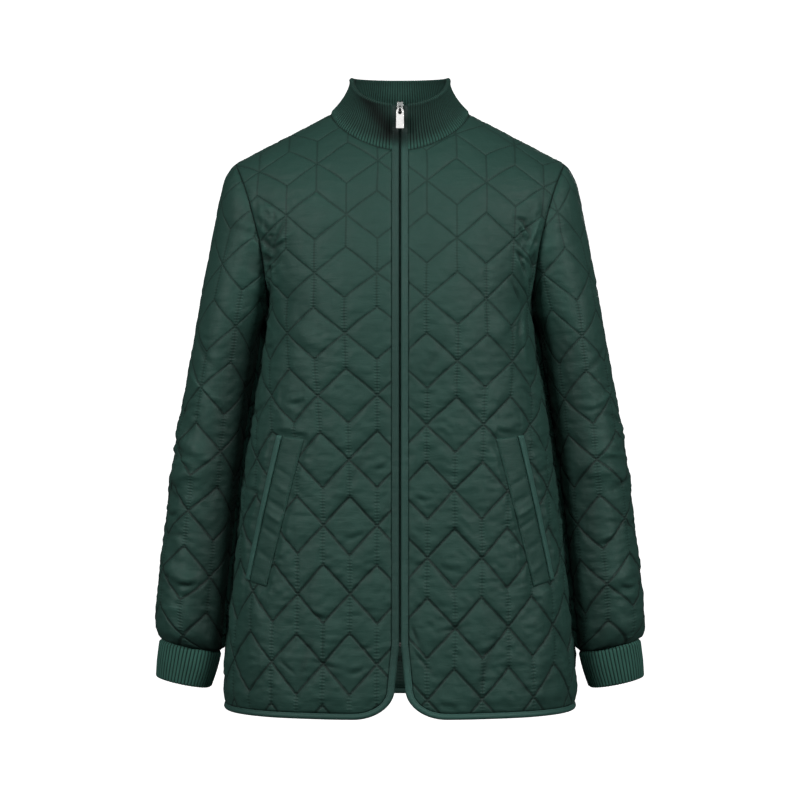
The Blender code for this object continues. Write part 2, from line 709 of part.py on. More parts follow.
def patch_lines(rows, columns, first):
    """Edges of the covered patch's outline, as numbers of its grid's points."""
    grid = first + np.arange(rows * columns).reshape(rows, columns)
    around = np.concatenate([grid[0], grid[1:, -1], grid[-1, -2::-1], grid[-2:0:-1, 0]])
    return [(int(a), int(b)) for a, b in zip(around, np.roll(around, -1))]


def bar(name, rings, color, roughness, metallic=0.0):
    """A closed bar through a row of rings, with its ends filled."""
    rings = np.asarray(rings)
    stations, around = rings.shape[:2]
    faces = [tuple(range(around))[::-1], tuple(range((stations - 1) * around, stations * around))]
    for i in range(stations - 1):
        for j in range(around):
            k = (j + 1) % around
            first, second = i * around, (i + 1) * around
            faces.append((first + j, first + k, second + k, second + j))
    return build_object(name, rings.reshape(-1, 3), faces, color, roughness, metallic)


# Shared seam data


def seam_drop(first, second, wall=WALL):
    """The way from a seam's outer to its inner edge: it halves the angle between the two cloths."""
    both = unit(first + second)
    lean = np.clip((both * first).sum(axis=-1, keepdims=True), 0.6, 1.0)
    return -both * wall / lean


def panel_normals(face, along, z):
    """Torso normals, read a little inside the ridge and the side seam where the surface ends."""
    span = TORSO_ARCS[face].total(z)
    along = np.clip(along, -span + 0.0012, span - 0.0012)
    return normals(lambda s, h: torso(s, h, face), along, z - 0.0006, torso_core)


def sleeve_normals(along, z):
    return normals(sleeve, along, np.clip(z, SLEEVE_END + 0.001, SHOULDER_Z - 0.0015), sleeve_core)


def cuff_ring(share, angles):
    """Rings of the left cuff, from the wrist seam (share 0) to its open end (share 1)."""
    centre, half, front, back, lean, _, _ = sleeve_oval(np.array(SLEEVE_END))
    down = np.array([math.sin(CUFF_TILT), 0.0, -math.cos(CUFF_TILT)])
    out = np.array([math.cos(CUFF_TILT), 0.0, math.sin(CUFF_TILT)])
    wide = half / math.cos(CUFF_TILT) + (CUFF_BOTTOM[0] - half / math.cos(CUFF_TILT)) * share
    deep_top = np.where(np.sin(angles) < 0, front, back)
    deep = deep_top + (CUFF_BOTTOM[1] - deep_top) * share
    start = np.array([float(centre), float(lean), SLEEVE_END])
    middle = start + down * CUFF_LENGTH * share
    across = wide * np.cos(angles)
    return middle + across[:, None] * out + (deep * np.sin(angles))[:, None] * np.array([0.0, 1.0, 0.0])


def torso_loops():
    """The edge loops of the front and back panels, made from the shared seam curves."""
    first_x = EDGE_GAP + BINDING_WIDTH
    shared = {}
    for face in ("front", "back"):
        points, z = armhole_curve(face)
        z = z[:, 0]
        along = torso_along(points[:, 0], z, face)
        reach = SLEEVE_ARCS[face].total(z)
        sign = -1.0 if face == "front" else 1.0
        torso_n = panel_normals(face, along, np.clip(z, UNDERARM_Z + 0.002, SHOULDER_Z - 0.001))
        sleeve_n = sleeve_normals(sign * np.maximum(reach - 0.001, 0.0), z)
        shared[face, "armhole"] = (points, along, z, sign * reach, torso_n, sleeve_n)
    ends = [shared["front", "armhole"][4][0] + shared["back", "armhole"][4][0]]
    ends.append(shared["front", "armhole"][4][-1] + shared["back", "armhole"][4][-1])
    for face in ("front", "back"):
        points, along, z, reach, torso_n, sleeve_n = shared[face, "armhole"]
        torso_n[0], torso_n[-1] = unit(ends[0]), unit(ends[1])
        sleeve_n[-1] = unit(sleeve_n[-1] * np.array([1.0, 0.0, 1.0]))
        sleeve_n[0] = unit(sleeve_n[0] * np.array([1.0, 0.0, 1.0]))
        drop = seam_drop(torso_n, sleeve_n)
        shared[face, "armhole"] = (points, along, z, reach, torso_n, sleeve_n, drop)
    shared["neck"] = {
        "front": neck_curve("front", first_x, 9),
        "back": neck_curve("back", 0.0, 8),
    }
    return shared


def collar_grid(shared):
    """The collar's neck edge and top edge as dense matching rows, from the left front round the back."""
    front, back = shared["neck"]["front"][0], shared["neck"]["back"][0]
    left = front[::-1]
    round_back = np.concatenate([back, back[-2::-1] * np.array([-1.0, 1.0, 1.0])])
    right = front * np.array([-1.0, 1.0, 1.0])
    return np.concatenate([left, round_back[1:], right[1:]])


def collar_top():
    """The collar's top edge: an oval seen from above that rises from the front to the back."""
    start = math.asin((EDGE_GAP + BINDING_WIDTH) / COLLAR_TOP_X)
    turn = np.linspace(start, 2 * math.pi - start, 721)
    x = COLLAR_TOP_X * np.sin(turn)
    y = -np.where(np.cos(turn) > 0, COLLAR_TOP_FRONT, COLLAR_TOP_BACK) * np.cos(turn)
    ahead = np.clip(np.cos(turn), 0.0, 1.0)
    behind = np.clip(-np.cos(turn), 0.0, 1.0)
    z = COLLAR_TOP_Z["side"] - (COLLAR_TOP_Z["side"] - COLLAR_TOP_Z["front"]) * ahead
    z = z + (COLLAR_TOP_Z["back"] - COLLAR_TOP_Z["side"]) * behind
    return np.stack([x, y, z], axis=1)


def collar_rows(seam, places, levels):
    """Points of the collar at shares of its length (places) and of its height (levels)."""
    bottom = sampled(2000, seam)[0]
    top = sampled(2000, collar_top())[0]
    index = np.asarray(places) * 2000
    steps = np.arange(2001)
    low = np.stack([np.interp(index, steps, bottom[:, i]) for i in range(3)], axis=1)
    high = np.stack([np.interp(index, steps, top[:, i]) for i in range(3)], axis=1)
    rows = []
    for level in levels:
        flare = (1.0 - level) ** COLLAR_FLARE
        row = high + (low - high) * flare
        row[:, 2] = low[:, 2] + (high[:, 2] - low[:, 2]) * level
        rows.append(row)
    return np.array(rows)


def grid_normals(rows):
    """Normals of a grid of points, pointing away from the middle axis."""
    across = np.gradient(rows, axis=1)
    up = np.gradient(rows, axis=0)
    found = unit(np.cross(across, up))
    away = rows * np.array([1.0, 1.0, 0.0])
    return found * np.sign((found * away).sum(axis=2, keepdims=True))


def ribbed_wall(name, outer, inner, closed):
    """A wall between a fine outer grid and a coarse inner grid that share their ends."""
    levels, fine = outer.shape[:2]
    inner_levels, coarse = inner.shape[:2]
    points = np.concatenate([outer.reshape(-1, 3), inner.reshape(-1, 3)])
    base = levels * fine
    faces = []

    def out(i, j):
        return i * fine + j % fine

    def back(i, j):
        return base + i * coarse + j % coarse

    fine_steps = fine if closed else fine - 1
    coarse_steps = coarse if closed else coarse - 1
    for i in range(levels - 1):
        for j in range(fine_steps):
            faces.append((out(i, j), out(i, j + 1), out(i + 1, j + 1), out(i + 1, j)))
    for i in range(inner_levels - 1):
        for j in range(coarse_steps):
            faces.append((back(i + 1, j), back(i + 1, j + 1), back(i, j + 1), back(i, j)))
    for level, inner_level, upward in ((levels - 1, inner_levels - 1, False), (0, 0, True)):
        for j in range(coarse_steps):
            first = round(j * fine_steps / coarse_steps)
            last = round((j + 1) * fine_steps / coarse_steps)
            fan = [out(level, k) for k in range(first, last + 1)]
            face = fan + [back(inner_level, j + 1), back(inner_level, j)]
            faces.append(tuple(face if upward else face[::-1])[::-1])
    if not closed:
        for column, inner_column, upward in ((0, 0, True), (fine - 1, coarse - 1, False)):
            face = [out(i, column) for i in range(levels)]
            face += [back(i, inner_column) for i in reversed(range(inner_levels))]
            faces.append(tuple(face if upward else face[::-1]))
    return build_object(name, points, faces, RIB_GREEN, 0.85)


def make_collar(shared):
    seam = collar_grid(shared)
    fine = 2 * COLLAR_RIBS + 1
    coarse = COLLAR_RIBS // 2 + 1
    levels = np.array((0.0, 0.12, 0.45, 1.0))
    rows = collar_rows(seam, np.linspace(0.0, 1.0, fine), levels)
    rise = np.where(np.arange(fine) % 2 == 1, RIB_RISE, 0.0)
    lift = np.array([0.0, 1.0, 1.0, 1.0])[:, None] * rise
    outer = rows + collar_normals(rows) * lift[..., None]
    outer[0] += unit(rows[-1] - rows[0]) * SEAM_GAP / 2
    rows = collar_rows(seam, np.linspace(0.0, 1.0, coarse), levels)
    inner = rows - collar_normals(rows) * COLLAR_WALL
    inner[0] = rows[0] + collar_drop(shared, rows[0])
    inner[0] += unit(rows[-1] - rows[0]) * SEAM_GAP / 2
    for wall in (outer, inner):
        for column, side in ((0, 1.0), (-1, -1.0)):
            wall[:, column, 0] = side * (EDGE_GAP + BINDING_WIDTH + SEAM_GAP / 2)
    return ribbed_wall("collar", outer, inner, closed=False)


def collar_normals(rows):
    """Normals of the collar's rows, square to the opening at its two front ends."""
    found = grid_normals(rows)
    for column in (0, -1):
        found[:, column, 0] = 0.0
    return unit(found)


def collar_drop(shared, points):
    """The neck seam's inward direction, read from the nearest seam point."""
    seam, drops = neck_drops(shared)
    nearest = np.argmin(np.linalg.norm(points[:, None] - seam[None], axis=2), axis=1)
    return drops[nearest] * (COLLAR_WALL / WALL)


def neck_drops(shared):
    """Neck seam points all round, and the shared inward directions of cloth and collar there."""
    seam = collar_grid(shared)
    parts = []
    for face in ("front", "back"):
        _, along, z = shared["neck"][face]
        parts.append(panel_normals(face, along[:, 0], z[:, 0] - 0.0005))
    front, back = parts
    middle = unit(front[0] + back[0])
    front[0] = back[0] = middle
    flip = np.array([-1.0, 1.0, 1.0])
    cloth = np.concatenate([front[::-1], back[1:], (back * flip)[-2::-1], (front * flip)[1:]])
    steps = np.linalg.norm(np.diff(seam, axis=0), axis=1)
    share = np.concatenate([[0.0], np.cumsum(steps)]) / steps.sum()
    rows = collar_rows(seam, share, np.array((0.0, 0.12)))
    rib = grid_normals(rows)[0]
    return seam, seam_drop(cloth, rib)


def cloth_loop(pieces):
    """Joins stretches of seam into one closed loop: flat points, solid points, normals, drops."""
    return [np.concatenate([piece[i] for piece in pieces]) for i in range(4)]


def plain_drop(found):
    return -WALL * found


def front_loop(shared):
    """Edge loop of the left front panel, from the neck at the opening, down, along the hem and back up."""
    outer, inner = edge_stations()
    surface_normals = panel_normals("front", inner[:, 0], inner[:, 1])
    edge = (inner, torso(inner[:, 0], inner[:, 1], "front"), surface_normals, plain_drop(surface_normals))
    seam, drops = neck_drops(shared)
    points, along, z = shared["neck"]["front"]
    count = len(points)
    neck_n = panel_normals("front", along[:, 0], z[:, 0] - 0.0005)
    neck = (np.stack([along[:, 0], z[:, 0]], axis=1), points, neck_n, drops[:count][::-1])
    edge[0][0], edge[1][0] = neck[0][-1], neck[1][-1]
    edge[3][0] = neck[3][-1]
    side = side_seam("front")
    arm_points, arm_along, arm_z, _, torso_n, _, drop = shared["front", "armhole"]
    arm = (np.stack([arm_along, arm_z], axis=1), arm_points, torso_n, drop)
    shoulder = shoulder_part("front")
    reverse = [values[::-1] for values in arm]
    shoulder[2][0], shoulder[3][0] = torso_n[0], drop[0]
    parts = [
        [values[:-1] for values in edge],
        [values[:-1] for values in side],
        [values[:-1] for values in reverse],
        [values[:-1] for values in shoulder],
        [values[:-1] for values in neck],
    ]
    return cloth_loop(parts)


def side_seam(face, count=28):
    """The side seam from the hem's binding up to the underarm."""
    z = np.linspace(HEM_Z + BINDING_WIDTH, UNDERARM_Z, count + 1)
    x = side_x(np.minimum(z, UNDERARM_Z - 1e-6))
    points = np.stack([x, np.zeros_like(x), z], axis=1)
    slope = np.gradient(x, z)
    outward = unit(np.stack([np.ones_like(x), np.zeros_like(x), -slope], axis=1))
    flat = np.stack([TORSO_ARCS[face].total(z), z], axis=1)
    return flat, points, outward, plain_drop(outward)


def shoulder_part(face):
    """The shoulder seam from the shoulder point to the side neck point."""
    points = shoulder_curve()[::-1]
    z = points[:, 2]
    flat = np.stack([TORSO_ARCS[face].total(z), z], axis=1)
    outward = unit(np.stack([np.full_like(z, SHOULDER_SLOPE), 0 * z, np.ones_like(z)], axis=1))
    return flat, points, outward, plain_drop(outward)


def back_loop(shared):
    """Edge loop of the back panel: its left half and the mirror of it."""
    seam, drops = neck_drops(shared)
    points, along, z = shared["neck"]["back"]
    first = len(shared["neck"]["front"][0]) - 1
    neck_n = panel_normals("back", along[:, 0], z[:, 0] - 0.0005)
    neck = (np.stack([along[:, 0], z[:, 0]], axis=1), points, neck_n, drops[first : first + len(points)])
    arm_points, arm_along, arm_z, _, torso_n, _, drop = shared["back", "armhole"]
    arm = (np.stack([arm_along, arm_z], axis=1), arm_points, torso_n, drop)
    side = [values[::-1].copy() for values in side_seam("back")]
    side[2][0], side[3][0] = torso_n[-1], drop[-1]
    shoulder = [values[::-1] for values in shoulder_part("back")]
    low = HEM_Z + BINDING_WIDTH
    hem_along = np.linspace(TORSO_ARCS["back"].total(low), 0.0, 16)
    hem_flat = np.stack([hem_along, np.full(16, low)], axis=1)
    hem_n = panel_normals("back", hem_along, hem_flat[:, 1])
    hem_n[0] = side[2][-1]
    hem_points = torso(hem_along, low, "back")
    hem_points[0] = side[1][-1]
    hem = (hem_flat, hem_points, hem_n, plain_drop(hem_n))
    half = cloth_loop([
        [values[::-1][:-1] for values in neck],
        [values[:-1] for values in shoulder],
        [values[:-1] for values in arm],
        [values[:-1] for values in side],
        [values for values in hem],
    ])
    shoulder_corner = len(neck[0]) - 1
    half[3][shoulder_corner] = neck[3][0]
    other = []
    for i, values in enumerate(half):
        flip = np.array([-1.0, 1.0]) if i == 0 else np.array([-1.0, 1.0, 1.0])
        other.append((values * flip)[::-1][1:-1])
    return [np.concatenate([first_half, second_half]) for first_half, second_half in zip(half, other)]


def sleeve_loop(shared):
    """Edge loop of the left sleeve: front armhole down, underarm seam, wrist, and back up."""
    parts = []
    wrist_turn = np.linspace(-math.pi, math.pi, 25)
    for face, sign in (("front", -1.0), ("back", 1.0)):
        points, _, z, reach, _, sleeve_n, drop = shared[face, "armhole"]
        arm = [np.stack([reach, z], axis=1), points, sleeve_n, drop]
        height = np.linspace(UNDERARM_Z, SLEEVE_END, 26)
        span = SLEEVE_ARCS[face].total(height)
        flat = np.stack([sign * span, height], axis=1)
        solid = sleeve(sign * span, height)
        outward = sleeve_normals(np.full_like(height, 0.0) + sign * (span - 0.001), height)
        outward = unit(outward * np.array([1.0, 0.0, 1.0]))
        seam = [flat, solid, outward, plain_drop(outward)]
        seam[1][0], seam[3][0] = points[-1], drop[-1]
        parts.append((arm, seam))
    (front_arm, front_seam), (back_arm, back_seam) = parts
    wrist_points = cuff_ring(0.0, wrist_turn)
    along = wrist_along(wrist_turn)
    flat = np.stack([along, np.full(25, SLEEVE_END)], axis=1)
    outward = unit(wrist_points - cuff_ring(0.0, wrist_turn + math.pi))
    wrist = [flat, wrist_points, outward, plain_drop(outward)]
    pieces = [
        [values[:-1] for values in front_arm],
        [values[:-1] for values in front_seam],
        [values[:-1] for values in wrist],
        [values[::-1][:-1] for values in back_seam],
        [values[::-1][:-1] for values in back_arm],
    ]
    return cloth_loop(pieces)


def wrist_along(turn):
    """Distance along the cloth at the wrist for each angle round the cuff, minus in front."""
    end = np.full(len(turn), SLEEVE_END)
    front = SLEEVE_ARCS["front"].distance_at(end, np.abs(turn))
    back = SLEEVE_ARCS["back"].distance_at(end, np.abs(turn))
    return np.where(turn < 0, -front, back)


def make_cuff(name, flip):
    fine = 2 * CUFF_RIBS
    turn = np.linspace(-math.pi, math.pi, fine + 1)[:-1]
    coarse = CUFF_RIBS // 2
    turn_in = np.linspace(-math.pi, math.pi, coarse + 1)[:-1]
    knots = np.linspace(-math.pi, math.pi, 25)
    wrist = cuff_ring(0.0, knots)
    down = np.array([math.sin(CUFF_TILT), 0.0, -math.cos(CUFF_TILT)]) * SEAM_GAP / 2

    def rings(angles, shares, lifts):
        rows = []
        for share, lift in zip(shares, lifts):
            ring = cuff_ring(share, angles)
            if share == 0.0:
                ring = np.stack([np.interp(angles, knots, wrist[:, i]) for i in range(3)], axis=1)
            outward = unit(ring - ring.mean(axis=0))
            rows.append(ring + outward * np.reshape(lift, (-1, 1)) + (down if share == 0.0 else 0.0))
        return np.array(rows)

    rise = np.where(np.arange(fine) % 2 == 1, RIB_RISE, 0.0)
    outer = rings(turn, (0.0, 0.1, 1.0), (0 * rise, rise, rise))
    inner = rings(turn_in, (0.0, 1.0), (-WALL, -WALL))
    mirror = np.array([-1.0 if flip else 1.0, 1.0, 1.0])
    return ribbed_wall(name, outer * mirror, inner * mirror, closed=True)


# Bindings and zip


def front_profile(x, z):
    """The front's middle from hem to collar top, with normals: the torso, then the collar above it."""
    neck_z = neck_front_z()
    low = torso(x, np.minimum(z, neck_z), "front")
    seam_y = torso(np.array([0.0098]), np.array([neck_z]), "front")[0, 1]
    share = np.clip((z - neck_z) / (COLLAR_TOP_Z["front"] - neck_z), 0.0, 1.0)
    top_y = -COLLAR_TOP_FRONT * 0.987
    collar_y = top_y + (seam_y - top_y) * (1.0 - share) ** COLLAR_FLARE
    points = low.copy()
    points[..., 1] = np.where(z > neck_z, collar_y, low[..., 1])
    points[..., 2] = z
    return points


def profile_normals(x, z):
    step = 0.002
    high, low = front_profile(x, z + step), front_profile(x, z - step)
    along = unit(high - low)
    return unit(np.stack([0 * along[..., 0], -along[..., 2], along[..., 1]], axis=-1))


def opening_heights():
    """Heights where the bound edges and the zip have their sections, from the collar's top down."""
    collar = np.linspace(COLLAR_TOP_Z["front"] - 0.0002, neck_front_z() + 0.004, 6)
    outer, _ = edge_stations()
    return np.concatenate([collar, outer[1:, 1][outer[1:, 1] > ZIP_END_Z - 0.002]])


BINDING_SECTION = ((1.0, 0.0010), (0.5, 0.0018), (0.0, -0.0010), (0.5, -0.0035), (1.0, -0.0028))


def make_front_binding(name, flip):
    """The folded strip over a front's edge, from the collar's top to the side seam."""
    outer, inner = edge_stations()
    collar_z = np.linspace(COLLAR_TOP_Z["front"] - 0.0002, neck_front_z() + 0.004, 6)
    rings = []
    for z in collar_z:
        ring = []
        for share, lift in BINDING_SECTION:
            x = np.array([EDGE_GAP + share * (BINDING_WIDTH - SEAM_GAP / 2)])
            level = np.array([z])
            ring.append((front_profile(x, level) + lift * profile_normals(x, level))[0])
        rings.append(ring)
    for i in range(1, len(outer)):
        ring = []
        for share, lift in BINDING_SECTION:
            pull = share * (1.0 - SEAM_GAP / 2 / BINDING_WIDTH)
            flat = outer[i] + pull * (inner[i] - outer[i])
            outward = panel_normals("front", flat[:1], flat[1:])[0]
            ring.append(torso(flat[0], flat[1], "front") + lift * outward)
        rings.append(ring)
    rings = np.array(rings)
    rings[-1, :, 0] = side_x(rings[-1, :, 2]) - 0.0
    rings[-1] = end_ring(rings[-1], -SEAM_GAP / 2)
    mirror = np.array([-1.0 if flip else 1.0, 1.0, 1.0])
    return bar(name, rings * mirror, BINDING_GREEN, 0.45)


def end_ring(ring, y):
    """The binding's end at the side seam: its section turned into the seam's plane."""
    turned = []
    for share, lift in BINDING_SECTION:
        z = HEM_Z + share * (BINDING_WIDTH - SEAM_GAP / 2)
        turned.append((float(side_x(np.array(z))) + lift, y, z))
    return np.array(turned)


def make_back_binding():
    span = float(TORSO_ARCS["back"].total(HEM_Z))
    alongs = np.linspace(-span, span, 29)
    rings = []
    for i, along in enumerate(alongs):
        ring = []
        for share, lift in BINDING_SECTION:
            z = HEM_Z + share * (BINDING_WIDTH - SEAM_GAP / 2)
            here = along / span * float(TORSO_ARCS["back"].total(z))
            outward = panel_normals("back", np.array([here]), np.array([z]))[0]
            ring.append(torso(here, z, "back") + lift * outward)
        rings.append(ring)
    rings[0] = end_ring(rings[0], SEAM_GAP / 2) * np.array([-1.0, 1.0, 1.0])
    rings[-1] = end_ring(rings[-1], SEAM_GAP / 2)
    return bar("binding_back", rings, BINDING_GREEN, 0.45)


def make_strip(name, near, far, front, deep, bottom, top, color):
    """A straight strip down the front's middle: from near to far sideways, front to deep inwards."""
    between = opening_heights()
    z = np.concatenate([[top], between[(between < top - 0.001) & (between > bottom + 0.001)], [bottom]])
    rings = []
    for x, depth in ((near, front), (far, front), (far, deep), (near, deep)):
        xs = np.full_like(z, x)
        middle = np.full_like(z, abs(x))
        line = front_profile(middle, z) - depth * profile_normals(middle, z)
        line[:, 0] = xs
        rings.append(line)
    return bar(name, np.stack(rings, axis=1), color, 0.6)


def slider_frame(reach=0.004):
    """Pivot point of the pull, and the directions outward and down along the front, over a reach."""
    x = np.array([0.0])
    at, below = front_profile(x, np.array([PIVOT_Z])), front_profile(x, np.array([PIVOT_Z - reach]))
    pivot = at[0] + PIVOT_LIFT * profile_normals(x, np.array([PIVOT_Z]))[0]
    down = unit(below[0] - at[0])
    return pivot, np.array([0.0, down[2], -down[1]]), down


def slab(name, frame, half_width, low, high, near, far, color, roughness, metallic, taper=1.0):
    """A block in the slider's frame: near and far from the pivot outwards, low and high downwards."""
    pivot, outward, down = frame
    rings = []
    for reach, width in ((low, half_width), (high, half_width * taper)):
        ring = []
        for side, depth in ((-1, near), (1, near), (1, far), (-1, far)):
            ring.append(pivot + np.array([side * width, 0.0, 0.0]) + outward * depth + down * reach)
        rings.append(ring)
    return bar(name, np.array(rings), color, roughness, metallic)


def make_slider():
    """Slider body: a crown plate, a post that reaches the teeth and an arch that holds the pull."""
    frame = slider_frame()
    plate = slab("zip_slider", frame, 0.0043, -0.0088, 0.0042, -0.0034, -0.0017, NICKEL, 0.25, 1.0, 0.72)
    helpers = [
        slab("slider_post", frame, 0.0009, -0.0030, 0.0030, -0.0065, -0.0030, NICKEL, 0.25, 1.0),
        slab("slider_leg_up", frame, 0.0010, -0.0036, -0.0016, -0.0025, 0.0032, NICKEL, 0.25, 1.0),
        slab("slider_leg_low", frame, 0.0010, 0.0016, 0.0036, -0.0025, 0.0032, NICKEL, 0.25, 1.0),
        slab("slider_arch", frame, 0.0011, -0.0038, 0.0038, 0.0018, 0.0030, NICKEL, 0.25, 1.0),
    ]
    for helper in helpers:
        helper.hide_render = True
        helper.display_type = "WIRE"
        join = plate.modifiers.new(helper.name, "BOOLEAN")
        join.operation = "UNION"
        join.object = helper
    return plate


def pull_outline():
    """Outline of the pull tab and of its eye, matched point for point: across, and below the pivot."""
    turn = np.linspace(0.0, 2 * math.pi, PULL_CORNERS, endpoint=False)
    across, down = np.sin(turn), -np.cos(turn)
    eye = np.stack([EYE_WIDE * across, EYE_MIDDLE + EYE_HIGH * down], axis=1)
    rounded = np.stack([PULL_HALF_WIDTH * across, EYE_MIDDLE + (EYE_MIDDLE + PULL_BAR) * down], axis=1)
    bottom = PULL_LENGTH - PULL_BAR
    reach = (bottom - EYE_MIDDLE) / np.maximum(down, 1e-6)
    far = np.minimum(reach, PULL_HALF_WIDTH / np.maximum(np.abs(across), 1e-6))
    straight = np.stack([far * across, EYE_MIDDLE + far * down], axis=1)
    rim = np.where((down > 0.02)[:, None], straight, rounded)
    for side in (-1.0, 1.0):
        corner = np.array([side * PULL_HALF_WIDTH, bottom])
        rim[np.argmin(np.linalg.norm(rim - corner, axis=1))] = corner
    return rim, eye


def make_pull():
    """The pull tab: a flat plate with an oval eye, hung on the slider's arch."""
    pivot, outward, down = slider_frame(PULL_LENGTH)
    rim, eye = pull_outline()
    points = []
    for depth in (PULL_THICK / 2, -PULL_THICK / 2):
        for outline in (rim, eye):
            for across, below in outline:
                place = outward * depth + down * below
                points.append(place + np.array([across, 0.0, 0.0]))
    faces = []
    n = PULL_CORNERS
    for i in range(n):
        j = (i + 1) % n
        faces.append((i, j, n + j, n + i))
        faces.append((2 * n + i, 3 * n + i, 3 * n + j, 2 * n + j))
        faces.append((i, 2 * n + i, 2 * n + j, j))
        faces.append((n + i, n + j, 3 * n + j, 3 * n + i))
    pull = build_object("zip_pull", points, faces, NICKEL, 0.22, 1.0)
    pull.location = pivot
    return pull


# Pockets


def patch_grid(corners, shares):
    """Places of the pocket band: rows from its top to its bottom, shares from its mouth inwards."""
    down = np.linspace(0.0, 1.0, POCKET_ROWS + 1)[:, None, None]
    mouth = corners[0] + down * (corners[1] - corners[0])
    inner = corners[3] + down * (corners[2] - corners[3])
    return mouth + np.reshape(shares, (1, -1, 1)) * (inner - mouth)


def make_pocket(name, grid, thick, flip, color, roughness):
    """A flat strip on the front panel, made from the panel's own points, moved out."""
    along, height = grid[..., 0], grid[..., 1]
    base = torso(along, height, "front")
    outward = panel_normals("front", along, height)
    top = base + outward * (POCKET_LIFT + thick)
    low = base + outward * POCKET_LIFT
    rings = np.concatenate([top, low[:, ::-1]], axis=1)
    mirror = np.array([-1.0 if flip else 1.0, 1.0, 1.0])
    return bar(name, rings * mirror, color, roughness)


def clear_scene():
    for old in list(bpy.data.objects):
        bpy.data.objects.remove(old, do_unlink=True)


def main():
    clear_scene()
    shared = torso_loops()
    corners = pocket_corners(lambda x, z: torso_along(x, z, "front"))
    band = POCKET_BINDING_WIDTH / float(np.linalg.norm(corners[0] - corners[3]))
    patch = patch_grid(corners, (0.0, band, (1.0 + band) / 2, 1.0))
    for side, flip in (("left", False), ("right", True)):
        front = front_loop(shared)
        quilted_panel("front_" + side, front_surface, torso_core, front, flip, "front", patch)
        quilted_panel("sleeve_" + side, sleeve, sleeve_core, sleeve_loop(shared), flip)
        make_cuff("cuff_" + side, flip)
        make_front_binding("binding_" + side, flip)
        sign = -1.0 if flip else 1.0
        top = ZIP_TOP_Z
        make_strip(
            "zip_tape_" + side,
            sign * 0.00015,
            sign * TAPE_WIDTH,
            TAPE_DEEP,
            TAPE_DEEP + TAPE_THICK,
            ZIP_END_Z - 0.004,
            top,
            TAPE_GREEN,
        )
        strip = patch_grid(corners, (0.0, band))
        make_pocket("pocket_binding_" + side, strip, 0.0026, flip, BINDING_GREEN, 0.45)
        strip = patch_grid(corners, (band + 0.012, (1.0 + band) / 2, 1.0))
        make_pocket("pocket_welt_" + side, strip, 0.0016, flip, SATIN_GREEN, 0.5)
    quilted_panel("back", back_surface, torso_core, back_loop(shared), False, "back")
    make_back_binding()
    make_collar(shared)
    make_strip(
        "zip_chain", -CHAIN_HALF, CHAIN_HALF, CHAIN_FRONT, CHAIN_BACK, ZIP_END_Z, ZIP_TOP_Z, TAPE_GREEN
    )
    make_slider()
    make_pull()


main()
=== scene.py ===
# %% [markdown]
# # A quilted jacket, cut and sewn in numpy
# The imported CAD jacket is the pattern: plain walls with coarse quilting. This script cuts the same
# pieces again from the same curves, finely enough to show the padding, the puckers beside the
# stitching, the ribs of the knit and the thread, and then dyes them.

import math
from functools import partial

import bpy
import numpy as np
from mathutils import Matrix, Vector
from mathutils.geometry import delaunay_2d_cdt


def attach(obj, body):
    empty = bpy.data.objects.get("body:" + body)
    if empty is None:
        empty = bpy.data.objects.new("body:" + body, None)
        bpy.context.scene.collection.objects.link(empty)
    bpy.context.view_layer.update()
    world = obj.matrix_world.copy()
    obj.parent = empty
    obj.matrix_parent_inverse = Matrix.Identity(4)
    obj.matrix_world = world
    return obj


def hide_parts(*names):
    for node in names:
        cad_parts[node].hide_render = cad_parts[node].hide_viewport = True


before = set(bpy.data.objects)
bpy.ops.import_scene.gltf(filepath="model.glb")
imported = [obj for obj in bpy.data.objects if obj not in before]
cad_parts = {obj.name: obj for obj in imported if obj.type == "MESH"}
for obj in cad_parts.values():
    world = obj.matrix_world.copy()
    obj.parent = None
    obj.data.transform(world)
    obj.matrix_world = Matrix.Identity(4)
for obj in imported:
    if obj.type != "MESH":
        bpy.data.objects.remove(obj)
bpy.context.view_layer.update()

# %% [markdown]
# ## Curves through short tables
# A tailor's block is a few measurements at named heights. A cubic between each two rows gives a cloth
# surface without kinks, and needs no more numbers than the block itself.

# %% Tables and curves


def smooth(value):
    """An even step: 3v² - 2v³, with v held between 0 and 1."""
    value = np.clip(value, 0.0, 1.0)
    return value * value * (3.0 - 2.0 * value)


def unit(vectors):
    """Each vector divided by its own length."""
    return vectors / np.maximum(np.linalg.norm(vectors, axis=-1, keepdims=True), 1e-12)


def lengths(points):
    """Distance run along a line of points, from 0 at the first."""
    return np.concatenate([[0.0], np.cumsum(np.linalg.norm(np.diff(points, axis=0), axis=1))])


def read(table, name, height):
    """One column of a table at any height: a Hermite cubic whose slopes are the rows' own gradients."""
    rows = np.array(table["rows"])[::-1]
    xs, ys = rows[:, 0], rows[:, table["columns"].index(name)]
    slopes = np.gradient(ys, xs)
    at = np.clip(height, xs[0], xs[-1])
    i = np.clip(np.searchsorted(xs, at) - 1, 0, len(xs) - 2)
    width = xs[i + 1] - xs[i]
    t = (at - xs[i]) / width
    return ((1 + 2 * t) * (1 - t) ** 2 * ys[i] + t * (1 - t) ** 2 * width * slopes[i]
            + t * t * (3 - 2 * t) * ys[i + 1] - t * t * (1 - t) * width * slopes[i + 1])


NECK_X, NECK_Z = 0.0845, 0.0014
SHOULDER_X, SHOULDER_Z = 0.1995, -0.0590
SLOPE = (NECK_Z - SHOULDER_Z) / (SHOULDER_X - NECK_X)
RIDGE_HEIGHT = 0.120
UNDERARM_Z = -0.235
ARMHOLE_REACH = {"front": 0.072, "back": 0.066}
HEM_Z = -0.7205
WALL = 0.0020
SEAM_GAP = -0.0002  # neighbours overlap by a hair, so that no light comes through a seam
MIRROR = np.array([-1.0, 1.0, 1.0])

